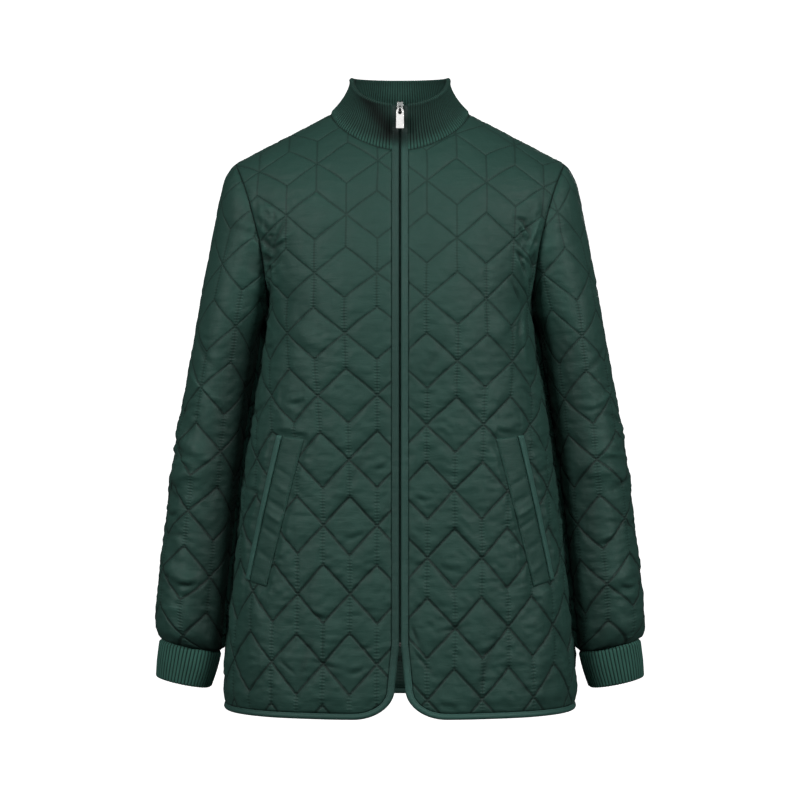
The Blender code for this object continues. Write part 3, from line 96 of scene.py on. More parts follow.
ARMHOLE = {"columns": ("height", "side"), "rows": (
    (-0.059, 0.1995), (-0.094, 0.1855), (-0.131, 0.1745), (-0.165, 0.1665), (-0.200, 0.1620),
    (-0.235, 0.1590))}
TORSO = {"columns": ("height", "half_width", "front", "back"), "rows": (
    (0.030, 0.1590, 0.072, 0.064), (-0.050, 0.1590, 0.084, 0.086), (-0.100, 0.1590, 0.101, 0.100),
    (-0.150, 0.1590, 0.115, 0.109), (-0.200, 0.1590, 0.124, 0.113), (-0.235, 0.1590, 0.128, 0.114),
    (-0.287, 0.1645, 0.130, 0.113), (-0.351, 0.1750, 0.130, 0.112), (-0.436, 0.1872, 0.131, 0.114),
    (-0.530, 0.1975, 0.133, 0.118), (-0.640, 0.2085, 0.136, 0.123), (-0.730, 0.2122, 0.138, 0.126))}
SLEEVE = {"columns": ("height", "outer", "depth", "lean", "tilt"), "rows": (
    (-0.059, 0.1997, 1.000, 0.000, 0.0), (-0.067, 0.2055, 1.000, 0.000, 0.0),
    (-0.079, 0.2113, 1.000, 0.000, 0.0), (-0.104, 0.2180, 1.000, 0.000, 0.0),
    (-0.131, 0.2235, 1.000, 0.000, 0.0), (-0.165, 0.2300, 1.000, 0.000, 0.0),
    (-0.200, 0.2365, 1.000, 0.000, 0.0), (-0.235, 0.2425, 1.000, 0.000, 0.0),
    (-0.290, 0.2515, 0.960, -0.001, 2.0), (-0.350, 0.2620, 0.920, -0.003, 4.0),
    (-0.421, 0.2730, 0.860, -0.007, 6.0), (-0.494, 0.2820, 0.810, -0.011, 8.0),
    (-0.567, 0.2900, 0.775, -0.015, 10.0), (-0.604, 0.2938, 0.750, -0.017, 11.0),
    (-0.624, 0.2942, 0.715, -0.018, 12.0), (-0.636, 0.2925, 0.640, -0.018, 12.0),
    (-0.644, 0.2895, 0.550, -0.018, 12.0))}
SLEEVE_END = -0.644
ARM_REST = 0.0165  # how far the sleeve's inner side leans over to rest against the body
print("tables:", len(TORSO["rows"]), "torso rows,", len(SLEEVE["rows"]), "sleeve rows")

# %% [markdown]
# ## Soft folds
# Cloth on a body hangs in a few long folds. Each is a bell: highest in its middle, fading along and
# across. The first rows are the folds that the CAD solids have as well; the crease rows are shorter
# and sharper, and only this script has them. All of them were placed one by one, unevenly, because
# folds from noise alone look like water.

# %% Folds and creases
FOLDS = {  # in mm and degrees: along, height, turn, half length, half width, rise
    "front": (
        (125, -265, 28, 50, 11, 3), (85, -640, 82, 90, 20, 3), (175, -630, 78, 90, 18, 3.5)),
    "back": (
        (95, -600, 84, 120, 22, 4), (-90, -610, 95, 110, 22, 4), (0, -640, 90, 90, 20, 3)),
    "sleeve": (
        (-45, -400, 22, 55, 10, 3.5), (-50, -440, -14, 50, 10, 3.5), (-60, -560, 18, 50, 11, 3),
        (60, -420, 10, 50, 11, 3)),
}


def bells(rows, along, height):
    """Sum of bells: rise · exp(-(way along / half length)² - (way across / half width)²), rows in mm."""
    total = np.zeros(np.broadcast(along, height).shape)
    for row in rows:
        middle, level, _, half_length, half_width, rise = (value / 1000 for value in row)
        c, s = math.cos(math.radians(row[2])), math.sin(math.radians(row[2]))
        a, b = along - middle, height - level
        total = total + rise * np.exp(-(((a * c + b * s) / half_length) ** 2)
                                      - ((b * c - a * s) / half_width) ** 2)
    return total


# %% [markdown]
# ## The torso
# Each level section is half a rounded box: a superellipse from the centre front to the armhole or the
# side seam. Above the underarm it stops early, at the armhole, and near the top its depth shrinks to
# the shoulder line like the cap of a circle. Cloth is cut by lengths along itself, so a table turns
# the distance round each section into an angle.

# %% Torso surface


def shoulder_height(x):
    """Height of the shoulder line: straight from the side neck point to the shoulder point."""
    return NECK_Z - SLOPE * (x - NECK_X)


def ridge(x, z):
    """Cap of a circle: sqrt(1 - (1 - share below the shoulder line)²)."""
    below = np.clip((shoulder_height(x) - z) / RIDGE_HEIGHT, 0.0, 1.0)
    return np.sqrt(1.0 - (1.0 - below) ** 2)


def armhole_share(z):
    """The armhole is an oval: its half width at a height, as a share of the widest."""
    middle, half = (SHOULDER_Z + UNDERARM_Z) / 2, (SHOULDER_Z - UNDERARM_Z) / 2
    return np.sqrt(np.clip(1.0 - ((z - middle) / half) ** 2, 0.0, 1.0))


def side_x(z):
    """Where a section ends: on the shoulder line, the armhole or the side seam."""
    on_ridge = NECK_X + (NECK_Z - z) / SLOPE
    return np.where(z > SHOULDER_Z, on_ridge, np.where(
        z > UNDERARM_Z, read(ARMHOLE, "side", z), read(TORSO, "half_width", z)))


def flat_depth(across, z, face):
    """Superellipse: depth · (1 - (1 - end^m) · across^2.6)^(1/m), with m easing from 2.6 to 1.3."""
    under = np.clip(z, UNDERARM_Z, SHOULDER_Z - 0.003)
    end = ARMHOLE_REACH[face] * armhole_share(under)
    end = end / (read(TORSO, face, under) * ridge(side_x(under), under))
    end = np.where(z > UNDERARM_Z, end, 0.0)
    square = 2.6 - 1.3 * smooth((z - UNDERARM_Z) / 0.08)
    return read(TORSO, face, z) * (1.0 - (1.0 - end**square) * across**2.6) ** (1.0 / square)


class Arcs:
    """Lengths along level sections, summed once on a grid of heights and angles, and read between."""

    def __init__(self, heights, angles, curves):
        self.heights, self.angles = heights, angles
        steps = np.linalg.norm(np.diff(curves, axis=1), axis=2)
        self.length = np.concatenate([np.zeros((len(heights), 1)), np.cumsum(steps, axis=1)], axis=1)
        self.shares = np.linspace(0.0, 1.0, len(angles))
        spans = np.maximum(self.length[:, -1:], 1e-9)
        self.angle = np.array([np.interp(self.shares, row, angles) for row in self.length / spans])

    def look(self, table, height, axis, at):
        """Bilinear reading of a table between its rows and columns."""
        row = np.interp(height, self.heights, np.arange(len(self.heights)))
        col = np.interp(at, axis, np.arange(len(axis)))
        i = np.minimum(row.astype(int), len(self.heights) - 2)
        j = np.minimum(col.astype(int), len(axis) - 2)
        f, g = row - i, col - j
        return ((table[i, j] * (1 - g) + table[i, j + 1] * g) * (1 - f)
                + (table[i + 1, j] * (1 - g) + table[i + 1, j + 1] * g) * f)

    def total(self, height):
        """Length of the whole section at a height."""
        return np.interp(height, self.heights, self.length[:, -1])

    def angle_at(self, height, distance):
        """Angle at a distance along the section."""
        share = distance / np.maximum(self.total(height), 1e-9)
        return self.look(self.angle, height, self.shares, np.clip(share, 0.0, 1.0))

    def distance_at(self, height, angle):
        """Distance along the section at an angle."""
        return self.look(self.length, height, self.angles, angle)


def torso_arcs(face):
    """Arc lengths of the torso's sections on one face."""
    heights, angles = np.linspace(-0.730, 0.030, 381), np.linspace(0.0, math.pi / 2, 121)
    z, turn = np.meshgrid(heights, angles, indexing="ij")
    across = np.sin(turn)
    return Arcs(heights, angles, np.stack([side_x(z) * across, flat_depth(across, z, face)], axis=2))


TORSO_ARCS = {face: torso_arcs(face) for face in ("front", "back")}


def torso(along, z, face):
    """A point of the torso: along is the distance round the cloth from the centre line."""
    along, z = np.broadcast_arrays(np.asarray(along, float), np.asarray(z, float))
    across = np.sin(TORSO_ARCS[face].angle_at(z, np.abs(along)))
    depth = flat_depth(across, z, face)
    x = side_x(z) * across
    depth = (depth + bells(FOLDS[face], along, z) * depth / read(TORSO, face, z)) * ridge(x, z)
    facing = {"front": -1.0, "back": 1.0}[face]
    return np.stack([np.sign(along) * x, facing * depth, z], axis=-1)


def front_surface(along, z):
    """The front's share of the torso."""
    return torso(along, z, "front")


def back_surface(along, z):
    """The back's share of the torso."""
    return torso(along, z, "back")


def torso_along(x, z, face):
    """Distance round the cloth at a given side place and height."""
    return TORSO_ARCS[face].distance_at(z, np.arcsin(np.clip(x / side_x(z), 0.0, 1.0)))


print("half a hem, front:", round(float(TORSO_ARCS["front"].total(HEM_Z)), 4), "m")

# %% [markdown]
# ## The sleeves
# A sleeve is a stack of ovals. In the cap the ovals are open: they start and end on the armhole, so
# that sleeve and body share one seam. Below the underarm they close, hang 9 mm clear of the side, and
# tilt and drift forward as an arm does. Only the inner back half leans over and rests on the body, so
# that no gap runs right through between arm and side.

# %% Sleeve surface


def sleeve_oval(z):
    """Centre, half width, front and back depth, lean, tilt and last angle of the oval at a height."""
    share = armhole_share(z)
    full = np.where(z > (SHOULDER_Z + UNDERARM_Z) / 2, share, read(SLEEVE, "depth", z))
    behind = np.sqrt(np.clip(1.0 - (share / np.maximum(full, 1e-6)) ** 2, 0.0, 1.0))
    behind = np.where(z > UNDERARM_Z, behind, 1.0)
    clear = np.where(z > UNDERARM_Z, 0.0, 0.0088 * smooth((UNDERARM_Z - z) / 0.035))
    outer = read(SLEEVE, "outer", z)
    half = np.maximum(outer - side_x(z) - clear, 0.0) / (1.0 + behind)
    tilt = np.radians(read(SLEEVE, "tilt", z))
    end = np.arccos(-np.clip(behind, 0.0, 1.0))
    front, back = full * ARMHOLE_REACH["front"], full * ARMHOLE_REACH["back"]
    return outer - half, half, front, back, read(SLEEVE, "lean", z), tilt, end


def sleeve_arcs(face):
    """Arc lengths of the sleeve's ovals, forward or backward from the outer line."""
    heights, angles = np.linspace(SLEEVE_END, SHOULDER_Z, 391), np.linspace(0.0, math.pi, 161)
    z, turn = np.meshgrid(heights, angles, indexing="ij")
    _, half, front, back, _, _, end = sleeve_oval(z)
    turn = np.minimum(turn, end)
    depth = front if face == "front" else back
    return Arcs(heights, angles, np.stack([half * np.cos(turn), depth * np.sin(turn)], axis=2))


SLEEVE_ARCS = {face: sleeve_arcs(face) for face in ("front", "back")}


def sleeve(along, height):
    """A point of the left sleeve: along is the distance round it from its outer line, minus in front."""
    along, height = np.broadcast_arrays(np.asarray(along, float), np.asarray(height, float))
    ahead = SLEEVE_ARCS["front"].angle_at(height, np.abs(along))
    behind = SLEEVE_ARCS["back"].angle_at(height, np.abs(along))
    centre, half, front, back, lean, tilt, _ = sleeve_oval(height)
    turn = np.where(along < 0, ahead, behind)
    depth = np.where(along < 0, -front, back)
    swell = 1.0 + bells(FOLDS["sleeve"], along, height) / np.maximum(half, 0.02)
    rest = ARM_REST * smooth((UNDERARM_Z - 0.004 - height) / 0.040) * smooth((height + 0.650) / 0.030)
    rest = rest * smooth(np.where(along > 0, depth * np.sin(turn), 0.0) / 0.020)
    out = half * np.cos(turn) * np.where(np.cos(turn) > 0, swell, 1.0) - rest * smooth(-np.cos(turn))
    y = lean + depth * np.sin(turn) * swell
    return np.stack([centre + out, y, height + np.tan(tilt) * out], axis=-1)


def torso_core(points):
    """A middle point inside the torso, level with each point but never above the chest."""
    core = np.zeros_like(points)
    core[..., 2] = np.minimum(points[..., 2], -0.14)
    return core


def sleeve_core(points):
    """A middle point inside the sleeve."""
    core = np.zeros_like(points)
    height = np.clip(points[..., 2], SLEEVE_END, -0.13)
    core[..., 0], _, _, _, core[..., 1], _, _ = sleeve_oval(height)
    core[..., 2] = height
    return core


def normals(surface, along, height, core):
    """Cross product of the surface's two steps, turned away from the middle of the piece."""
    step = 2e-4
    across = surface(along + step, height) - surface(along - step, height)
    down = surface(along, height - 2 * step) - surface(along, height)
    found = unit(np.cross(across, down))
    away = surface(along, height) - core(surface(along, height))
    return found * np.sign((found * away).sum(axis=-1, keepdims=True) + 1e-12)


def panel_normals(face, along, z):
    """Torso normals, read a little inside the ridge and the side seam where the surface ends."""
    span = TORSO_ARCS[face].total(z)
    along = np.clip(along, -span + 0.0012, span - 0.0012)
    return normals(lambda s, h: torso(s, h, face), along, z - 0.0006, torso_core)


def sleeve_normals(along, z):
    """Sleeve normals, read a little inside the wrist and the shoulder point."""
    return normals(sleeve, along, np.clip(z, SLEEVE_END + 0.001, SHOULDER_Z - 0.0015), sleeve_core)


elbow = sum(arcs.total(-0.4) for arcs in SLEEVE_ARCS.values())
print("sleeve at the elbow:", round(float(elbow), 3), "m round")

# %% [markdown]
# ## Seams
# Two pieces of cloth meet exactly only if they are cut from one curve. Each seam is sampled once, every
# 2 mm, and both neighbours use its points, each carried 0.1 mm past them, so that they overlap by a
# hair and no light comes through. The outer edge is also sunk a little, because stitching pulls it in.

# %% Seam curves
STITCH_STEP = 0.0021
EDGE_GAP, BINDING_WIDTH, HEM_WIDTH = 0.0010, 0.0078, 0.0066
ZIP_END_Z = -0.632
CORNER = {"x": 0.006, "z": -0.684, "wide": 0.049, "high": 0.0365}
NECK = {"front": (0.0530, 1.65), "back": (0.0170, 2.2)}


def sampled(step, *arrays):
    """Places evenly spaced along the first array's points, read in all arrays at once."""
    length = lengths(arrays[0])
    count = step if isinstance(step, int) else max(2, round(length[-1] / step))
    wanted = np.linspace(0.0, length[-1], count + 1)
    return [np.stack([np.interp(wanted, length, column) for column in
                      np.asarray(values, float).reshape(len(length), -1).T], axis=1) for values in arrays]


def neck_height(x, face):
    """The neckline drops as a superellipse: drop · (1 - (x / side)^curve)^(1 / curve)."""
    drop, curve = NECK[face]
    return NECK_Z - drop * (1.0 - (x / NECK_X) ** curve) ** (1.0 / curve)


def neck_curve(face, first_x):
    """Neck seam from the side neck point to the centre: solid points, along and height."""
    x = first_x + (NECK_X - first_x) * (1.0 - np.linspace(0.0, 1.0, 900) ** 1.5)
    z = neck_height(x, face)
    along = torso_along(x, z, face)
    points = torso(along, z, face)
    points[0] = (NECK_X, 0.0, NECK_Z)
    points, along, z = sampled(STITCH_STEP, points, along, z)
    return points, along[:, 0], z[:, 0]


def armhole_curve(face):
    """Armhole from the shoulder point to the underarm: an oval bent onto the body's side line."""
    turn = np.linspace(0.0, math.pi, 900)
    z = (SHOULDER_Z + UNDERARM_Z) / 2 + (SHOULDER_Z - UNDERARM_Z) / 2 * np.cos(turn)
    reach = ARMHOLE_REACH[face] * (-1.0 if face == "front" else 1.0)
    points = np.stack([side_x(np.minimum(z, SHOULDER_Z)), reach * np.sin(turn), z], axis=1)
    points, z = sampled(STITCH_STEP, points, z)
    return points, z[:, 0]


def edge_stations():
    """The bound edge in the cloth's plane: down the opening, round the corner, along the hem."""
    top = neck_height(EDGE_GAP + BINDING_WIDTH, "front")
    opening = np.stack([np.full(200, EDGE_GAP), np.linspace(top, ZIP_END_Z, 200)], axis=1)
    apart = np.linspace((EDGE_GAP, ZIP_END_Z), (CORNER["x"], CORNER["z"]), 40)
    turn, middle = np.linspace(math.pi, 1.5 * math.pi, 60), CORNER["x"] + CORNER["wide"]
    x, z = middle + CORNER["wide"] * np.cos(turn), CORNER["z"] + CORNER["high"] * np.sin(turn)
    corner = np.stack([x, z], axis=1)
    end = TORSO_ARCS["front"].total(HEM_Z)
    hem = np.stack([np.linspace(middle, end, 120), np.full(120, HEM_Z)], axis=1)
    path = sampled(400, np.concatenate([opening, apart[1:], corner[1:], hem[1:]]))[0]
    way = unit(np.gradient(path, axis=0))
    width = HEM_WIDTH + (BINDING_WIDTH - HEM_WIDTH) * smooth((path[:, 1:] - HEM_Z - 0.004) / 0.030)
    inner = path + width * np.stack([-way[:, 1], way[:, 0]], axis=1)
    inner[-1, 0] = TORSO_ARCS["front"].total(inner[-1, 1])
    return sampled(STITCH_STEP, path, inner)


def seam_drop(first, second, wall=WALL):
    """From a seam's outer to its inner edge: along the half angle, lengthened so both walls keep true."""
    both = unit(first + second)
    return -both * wall / np.clip((both * first).sum(axis=-1, keepdims=True), 0.6, 1.0)


first_x = EDGE_GAP + BINDING_WIDTH
NECKS = {"front": neck_curve("front", first_x), "back": neck_curve("back", 0.0)}
ARMHOLES = {}
for face, sign in (("front", -1.0), ("back", 1.0)):
    points, z = armhole_curve(face)
    along = torso_along(points[:, 0], z, face)
    reach = sign * SLEEVE_ARCS[face].total(z)
    body_side = panel_normals(face, along, np.clip(z, UNDERARM_Z + 0.002, SHOULDER_Z - 0.001))
    arm_side = sleeve_normals(reach - sign * np.minimum(0.001, np.abs(reach)), z)
    ARMHOLES[face] = [points, along, z, reach, body_side, arm_side]
for end in (0, -1):
    middle = unit(ARMHOLES["front"][4][end] + ARMHOLES["back"][4][end])
    for face in ("front", "back"):
        ARMHOLES[face][4][end] = middle
        ARMHOLES[face][5][end] = unit(ARMHOLES[face][5][end] * np.array([1.0, 0.0, 1.0]))
for face in ("front", "back"):
    ARMHOLES[face].append(seam_drop(ARMHOLES[face][4], ARMHOLES[face][5]))
print("armhole seam:", len(ARMHOLES["front"][0]) + len(ARMHOLES["back"][0]), "points")

# %% [markdown]
# ## The collar's form
# The stand collar is a strip from the neckline up to a rounder, smaller oval that rises from the zip to
# the nape. In between, a power curve flares it: steep at the top, leaning out into the seam below.

# %% Collar form
COLLAR = {"x": 0.060, "front": 0.066, "back": 0.060, "z_front": 0.0044, "z_side": 0.044, "z_back": 0.0486}
COLLAR_WALL, COLLAR_FLARE, COLLAR_RIBS = 0.0030, 1.8, 122
COLLAR_HOLLOW = 0.0085  # how far the rib sinks back beside the zip, below its rolled edge


def hollow(x, level):
    """Depth of the hollow: a bell across the front, a squared sine up the collar, none near its top."""
    rise = np.sin(math.pi * np.clip(1.2 * level, 0.0, 1.0)) ** 2
    return COLLAR_HOLLOW * np.exp(-((x / 0.034) ** 2)) * rise


def all_round(front, back):
    """Half a neckline's front and back values, carried round the nape and mirrored to the other side."""
    return np.concatenate([front[::-1], back[1:], (back * MIRROR)[-2::-1], (front * MIRROR)[1:]])


def neck_ring():
    """The whole neck seam from the left front, round the back, to the right front."""
    return all_round(NECKS["front"][0], NECKS["back"][0])


def collar_top():
    """An oval seen from above, whose height eases from front to side and from side to back."""
    start = math.asin(first_x / COLLAR["x"])
    turn = np.linspace(start, 2 * math.pi - start, 1441)
    ahead, behind = np.clip(np.cos(turn), 0, 1), np.clip(-np.cos(turn), 0, 1)
    y = -np.where(np.cos(turn) > 0, COLLAR["front"], COLLAR["back"]) * np.cos(turn)
    z = COLLAR["z_side"] - (COLLAR["z_side"] - COLLAR["z_front"]) * ahead
    z = z + (COLLAR["z_back"] - COLLAR["z_side"]) * behind
    return np.stack([COLLAR["x"] * np.sin(turn), y, z], axis=1)


COLLAR_LOW, COLLAR_HIGH = sampled(2000, neck_ring())[0], sampled(2000, collar_top())[0]


def collar_rows(places, levels):
    """Rows of the collar: plan = top + (bottom - top) · (1 - level)^1.8, height even in level."""
    index, steps = np.asarray(places) * 2000, np.arange(2001)
    low = np.stack([np.interp(index, steps, COLLAR_LOW[:, i]) for i in range(3)], axis=1)
    high = np.stack([np.interp(index, steps, COLLAR_HIGH[:, i]) for i in range(3)], axis=1)
    level = np.reshape(levels, (-1, 1, 1))
    rows = high + (low - high) * (1.0 - np.clip(level, 0, 1)) ** COLLAR_FLARE
    rows[..., 2] = (low + (high - low) * level)[..., 2]
    rows[..., 1] += np.where(rows[..., 1] < 0, hollow(rows[..., 0], level[..., 0]), 0.0)
    return rows


def grid_normals(rows):
    """Cross product of a grid's two gradients, turned away from the neck's middle line."""
    found = unit(np.cross(np.gradient(rows, axis=1), np.gradient(rows, axis=0)))
    away = rows * np.array([1.0, 1.0, 0.0])
    return found * np.sign((found * away).sum(axis=2, keepdims=True))


def neck_drops():
    """Shared way inwards along the neck seam, halving the angle between panel and rib."""
    front, back = (panel_normals(face, NECKS[face][1], NECKS[face][2] - 0.0005) for face in NECKS)
    front[0] = back[0] = unit(front[0] + back[0])
    return seam_drop(all_round(front, back), grid_normals(collar_rows(RING_SHARE, [0.0, 0.12]))[0])


RING_LENGTH = lengths(neck_ring())
RING_SHARE = RING_LENGTH / RING_LENGTH[-1]
NECK_DROPS = neck_drops()
print("neck seam:", round(float(RING_LENGTH[-1]), 3), "m")

# %% [markdown]
# ## Panel outlines
# Every panel's edge is one closed loop that holds four things for each point: its place in the flat
# cloth, its place in space, the cloth's normal there, and the way to the inner edge.

# %% Panel outlines


def plain_drop(outward):
    """From the outer to the inner edge: straight in by the wall."""
    return -WALL * outward


def side_seam(face):
    """Side seam from the binding up to the underarm."""
    z = np.linspace(HEM_Z + HEM_WIDTH, UNDERARM_Z, 228)
    x = side_x(np.minimum(z, UNDERARM_Z - 1e-6))
    points = np.stack([x, 0 * x, z], axis=1)
    outward = unit(np.stack([np.ones_like(x), 0 * x, -np.gradient(x, z)], axis=1))
    return [np.stack([TORSO_ARCS[face].total(z), z], axis=1), points, outward, plain_drop(outward)]


def shoulder_seam(face):
    """Shoulder seam from the shoulder point to the side neck point."""
    x = np.linspace(SHOULDER_X, NECK_X, 62)
    z = shoulder_height(x)
    outward = unit(np.stack([np.full_like(z, SLOPE), 0 * z, np.ones_like(z)], axis=1))
    flat = np.stack([TORSO_ARCS[face].total(z), z], axis=1)
    return [flat, np.stack([x, 0 * x, z], axis=1), outward, plain_drop(outward)]


def torso_edges(face):
    """The stretches that both torso panels need: neck, armhole, shoulder and side."""
    points, along, z = NECKS[face]
    first = 0 if face == "front" else len(NECKS["front"][0]) - 1
    drops = NECK_DROPS[first:first + len(points)]
    drops = drops[::-1] if face == "front" else drops
    neck = [np.stack([along, z], axis=1), points, panel_normals(face, along, z - 0.0005), drops]
    arm = ARMHOLES[face]
    armhole = [np.stack([arm[1], arm[2]], axis=1), arm[0], arm[4], arm[6]]
    shoulder, side = shoulder_seam(face), side_seam(face)
    shoulder[2][0], shoulder[3][0] = arm[4][0], arm[6][0]
    side[2][-1], side[3][-1] = arm[4][-1], arm[6][-1]
    shoulder[3][-1] = drops[0]
    return neck, armhole, shoulder, side


def joined(parts):
    """Joins stretches into one loop; each gives up its last point to the next."""
    return [np.concatenate([part[i][:-1] for part in parts]) for i in range(4)]


def backwards(part):
    """The same stretch, run the other way."""
    return [values[::-1] for values in part]


def front_loop():
    """Bound edge and hem, side seam, armhole, shoulder and neck."""
    neck, armhole, shoulder, side = torso_edges("front")
    inner = EDGE_INNER.copy()
    outward = panel_normals("front", inner[:, 0], inner[:, 1])
    edge = [inner, front_surface(inner[:, 0], inner[:, 1]), outward, plain_drop(outward)]
    for i in (0, 1, 3):
        edge[i][0] = neck[i][-1]
    return joined([edge, side, backwards(armhole), shoulder, neck])


def back_loop():
    """Half an outline from the nape to the middle of the hem, and its mirror image."""
    neck, armhole, shoulder, side = torso_edges("back")
    low = HEM_Z + HEM_WIDTH
    along = np.linspace(TORSO_ARCS["back"].total(low), 0.0, 150)
    outward = panel_normals("back", along, np.full(150, low))
    outward[0] = side[2][0]
    flat = np.stack([along, np.full(150, low)], axis=1)
    hem = [flat, back_surface(along, low), outward, plain_drop(outward)]
    hem[1][0] = side[1][0]
    half = joined([backwards(neck), backwards(shoulder), armhole, backwards(side), hem])
    half = [np.concatenate([values, part[-1:]]) for values, part in zip(half, hem)]
    return [np.concatenate([values, (values * MIRROR[:values.shape[1]])[::-1][1:-1]]) for values in half]


EDGE_OUTER, EDGE_INNER = edge_stations()
FRONT_LOOP, BACK_LOOP = front_loop(), back_loop()
print("front outline:", len(FRONT_LOOP[0]), "points; back outline:", len(BACK_LOOP[0]))

# %% [markdown]
# The wrist of the sleeve and the top of the cuff are one oval, so the cuff's form comes before the
# sleeve's outline.

# %% Cuff form and sleeve outline
CUFF_TILT, CUFF_LENGTH, CUFF_BOTTOM, CUFF_RIBS = math.radians(12.0), 0.0455, (0.0330, 0.0350), 52


def cuff_ring(share, angles):
    """Ovals from the wrist seam (share 0) to the cuff's open end (share 1), tilted with the arm."""
    centre, half, front, back, lean, _, _ = (float(v) for v in sleeve_oval(np.array(SLEEVE_END)))
    down = np.array([math.sin(CUFF_TILT), 0.0, -math.cos(CUFF_TILT)])
    out = np.array([math.cos(CUFF_TILT), 0.0, math.sin(CUFF_TILT)])
    share = np.asarray(share)[..., None]
    wide = half / math.cos(CUFF_TILT) + (CUFF_BOTTOM[0] - half / math.cos(CUFF_TILT)) * share
    top = np.where(np.sin(angles) < 0, front, back)
    deep = top + (CUFF_BOTTOM[1] - top) * share
    middle = np.array([centre, lean, SLEEVE_END]) + down * CUFF_LENGTH * share[..., None]
    side = (wide * np.cos(angles))[..., None] * out
    return middle + side + (deep * np.sin(angles))[..., None] * np.array([0.0, 1.0, 0.0])


def sleeve_loop():
    """Front armhole down, underarm seam, wrist, underarm seam up, back armhole."""
    parts = []
    for face, sign in (("front", -1.0), ("back", 1.0)):
        points, _, z, reach, _, arm_side, drop = ARMHOLES[face]
        height = np.linspace(UNDERARM_Z, SLEEVE_END, 196)
        span = SLEEVE_ARCS[face].total(height)
        outward = unit(sleeve_normals(sign * (span - 0.001), height) * np.array([1.0, 0.0, 1.0]))
        flat = np.stack([sign * span, height], axis=1)
        seam = [flat, sleeve(sign * span, height), outward, plain_drop(outward)]
        seam[1][0], seam[3][0] = points[-1], drop[-1]
        parts += [[np.stack([reach, z], axis=1), points, arm_side, drop], seam]
    turn = np.linspace(-math.pi, math.pi, 101)
    wrist = cuff_ring(0.0, turn)
    end = np.full(101, SLEEVE_END)
    along = np.where(turn < 0, -SLEEVE_ARCS["front"].distance_at(end, np.abs(turn)),
                     SLEEVE_ARCS["back"].distance_at(end, np.abs(turn)))
    outward = unit(wrist - cuff_ring(0.0, turn + math.pi))
    wrist = [np.stack([along, end], axis=1), wrist, outward, plain_drop(outward)]
    return joined([parts[0], parts[1], wrist, backwards(parts[3]), backwards(parts[2])])


SLEEVE_LOOP = sleeve_loop()
print("sleeve outline:", len(SLEEVE_LOOP[0]), "points")

# %% [markdown]
# ## The quilting
# The stitching draws tumbling blocks: large lozenges point down and sideways, and pairs of leaning
# rhombi fill the space between them, so that six lines meet at each star. In coordinates that count
# columns and rows the pattern repeats by mirroring, so folding both coordinates like paper leaves one
# small square with only two slanted lines in it. Padding rises between the lines like a cushion: the
# product p(1 - p)q(1 - q) of a cell's own two coordinates, to a power below one so that it is full in
# the middle and steep at the stitching.

# %% Quilting
QUILT = {  # first column, column pitch, first row, row pitch, growth of the rows
    "front_left": (0.0315, 0.0345, -0.0885, 0.0690, 0.0020),
    "front_right": (0.0269, 0.0345, -0.0635, 0.0663, 0.0022),
    "back": (0.0, 0.0340, -0.0760, 0.0680, 0.0020),
    "sleeve_left": (-0.0130, 0.0335, -0.1240, 0.0735, 0.0001),
    "sleeve_right": (0.0010, 0.0335, -0.0385, 0.0735, 0.0001),
}
PITCH = {"columns": ("height", "front_left", "front_right"), "rows": (  # wider at the chest
    (-0.05, 0.0352, 0.0355), (-0.12, 0.0354, 0.0365), (-0.20, 0.0358, 0.0380), (-0.27, 0.0364, 0.0384),
    (-0.34, 0.0345, 0.0350), (-0.42, 0.0328, 0.0322), (-0.50, 0.0322, 0.0316), (-0.73, 0.0325, 0.0320))}
DROP = 3.0 / 7.0
CELLS = 15
SHOULDER_EXTRA = {"front": 0.030, "back": 0.034, None: 0.0}


def over_shoulder(along, z, drape):
    """How much further the cloth has come over the shoulder's curve than its level height says."""
    x = np.minimum(np.abs(along), side_x(z)) * 0.97
    below = np.clip(1.0 - (shoulder_height(x) - z) / RIDGE_HEIGHT, 0.0, 1.2)
    return SHOULDER_EXTRA[drape] * below**3


def column_pitch(name, height):
    """Distance between columns: from the table on the fronts, the same everywhere on the other pieces."""
    return read(PITCH, name, height) if name in PITCH["columns"] else QUILT[name][1]


def to_lattice(name, along, z, drape):
    """Columns and rows: rows solve first - pitch·k - growth·k(k - 1)/2 = height for k."""
    column, _, first, row, growth = QUILT[name]
    height = z + over_shoulder(along, z, drape) if drape else z
    b = row - growth / 2
    k = (-b + np.sqrt(np.maximum(b * b + 2 * growth * (first - height), 1e-9))) / growth
    return (along - column) / column_pitch(name, height), k


def from_lattice(name, columns, rows, drape):
    """Back to the cloth: the height over the shoulder is found by halving the error twelve times."""
    column, _, first, row, growth = QUILT[name]
    height = first - row * rows - growth * rows * (rows - 1) / 2
    along = column + column_pitch(name, height) * columns
    z = height
    for _ in range(12 if drape else 0):
        z = 0.5 * z + 0.5 * (height - over_shoulder(along, z, drape))
    return along, z


def pleat(value):
    """Folds a count like paper: 0 at even whole numbers, 1 at odd ones."""
    return 1.0 - np.abs(value % 2.0 - 1.0)


def cell_places(columns, rows):
    """Own coordinates p and q of the cell that a place lies in, and whether it is a lozenge."""
    x, w = pleat(columns), pleat(rows)
    low, high = w < DROP * x, w > 1.0 - DROP + DROP * x
    x, w = np.where(high, 1.0 - x, x), np.where(high, 1.0 - w, w)
    p = np.where(low | high, (x + w / DROP) / 2, x)
    q = np.where(low | high, (x - w / DROP) / 2, (w - DROP * x) / (1.0 - DROP))
    return np.clip(p, 0.0, 1.0), np.clip(q, 0.0, 1.0), low | high


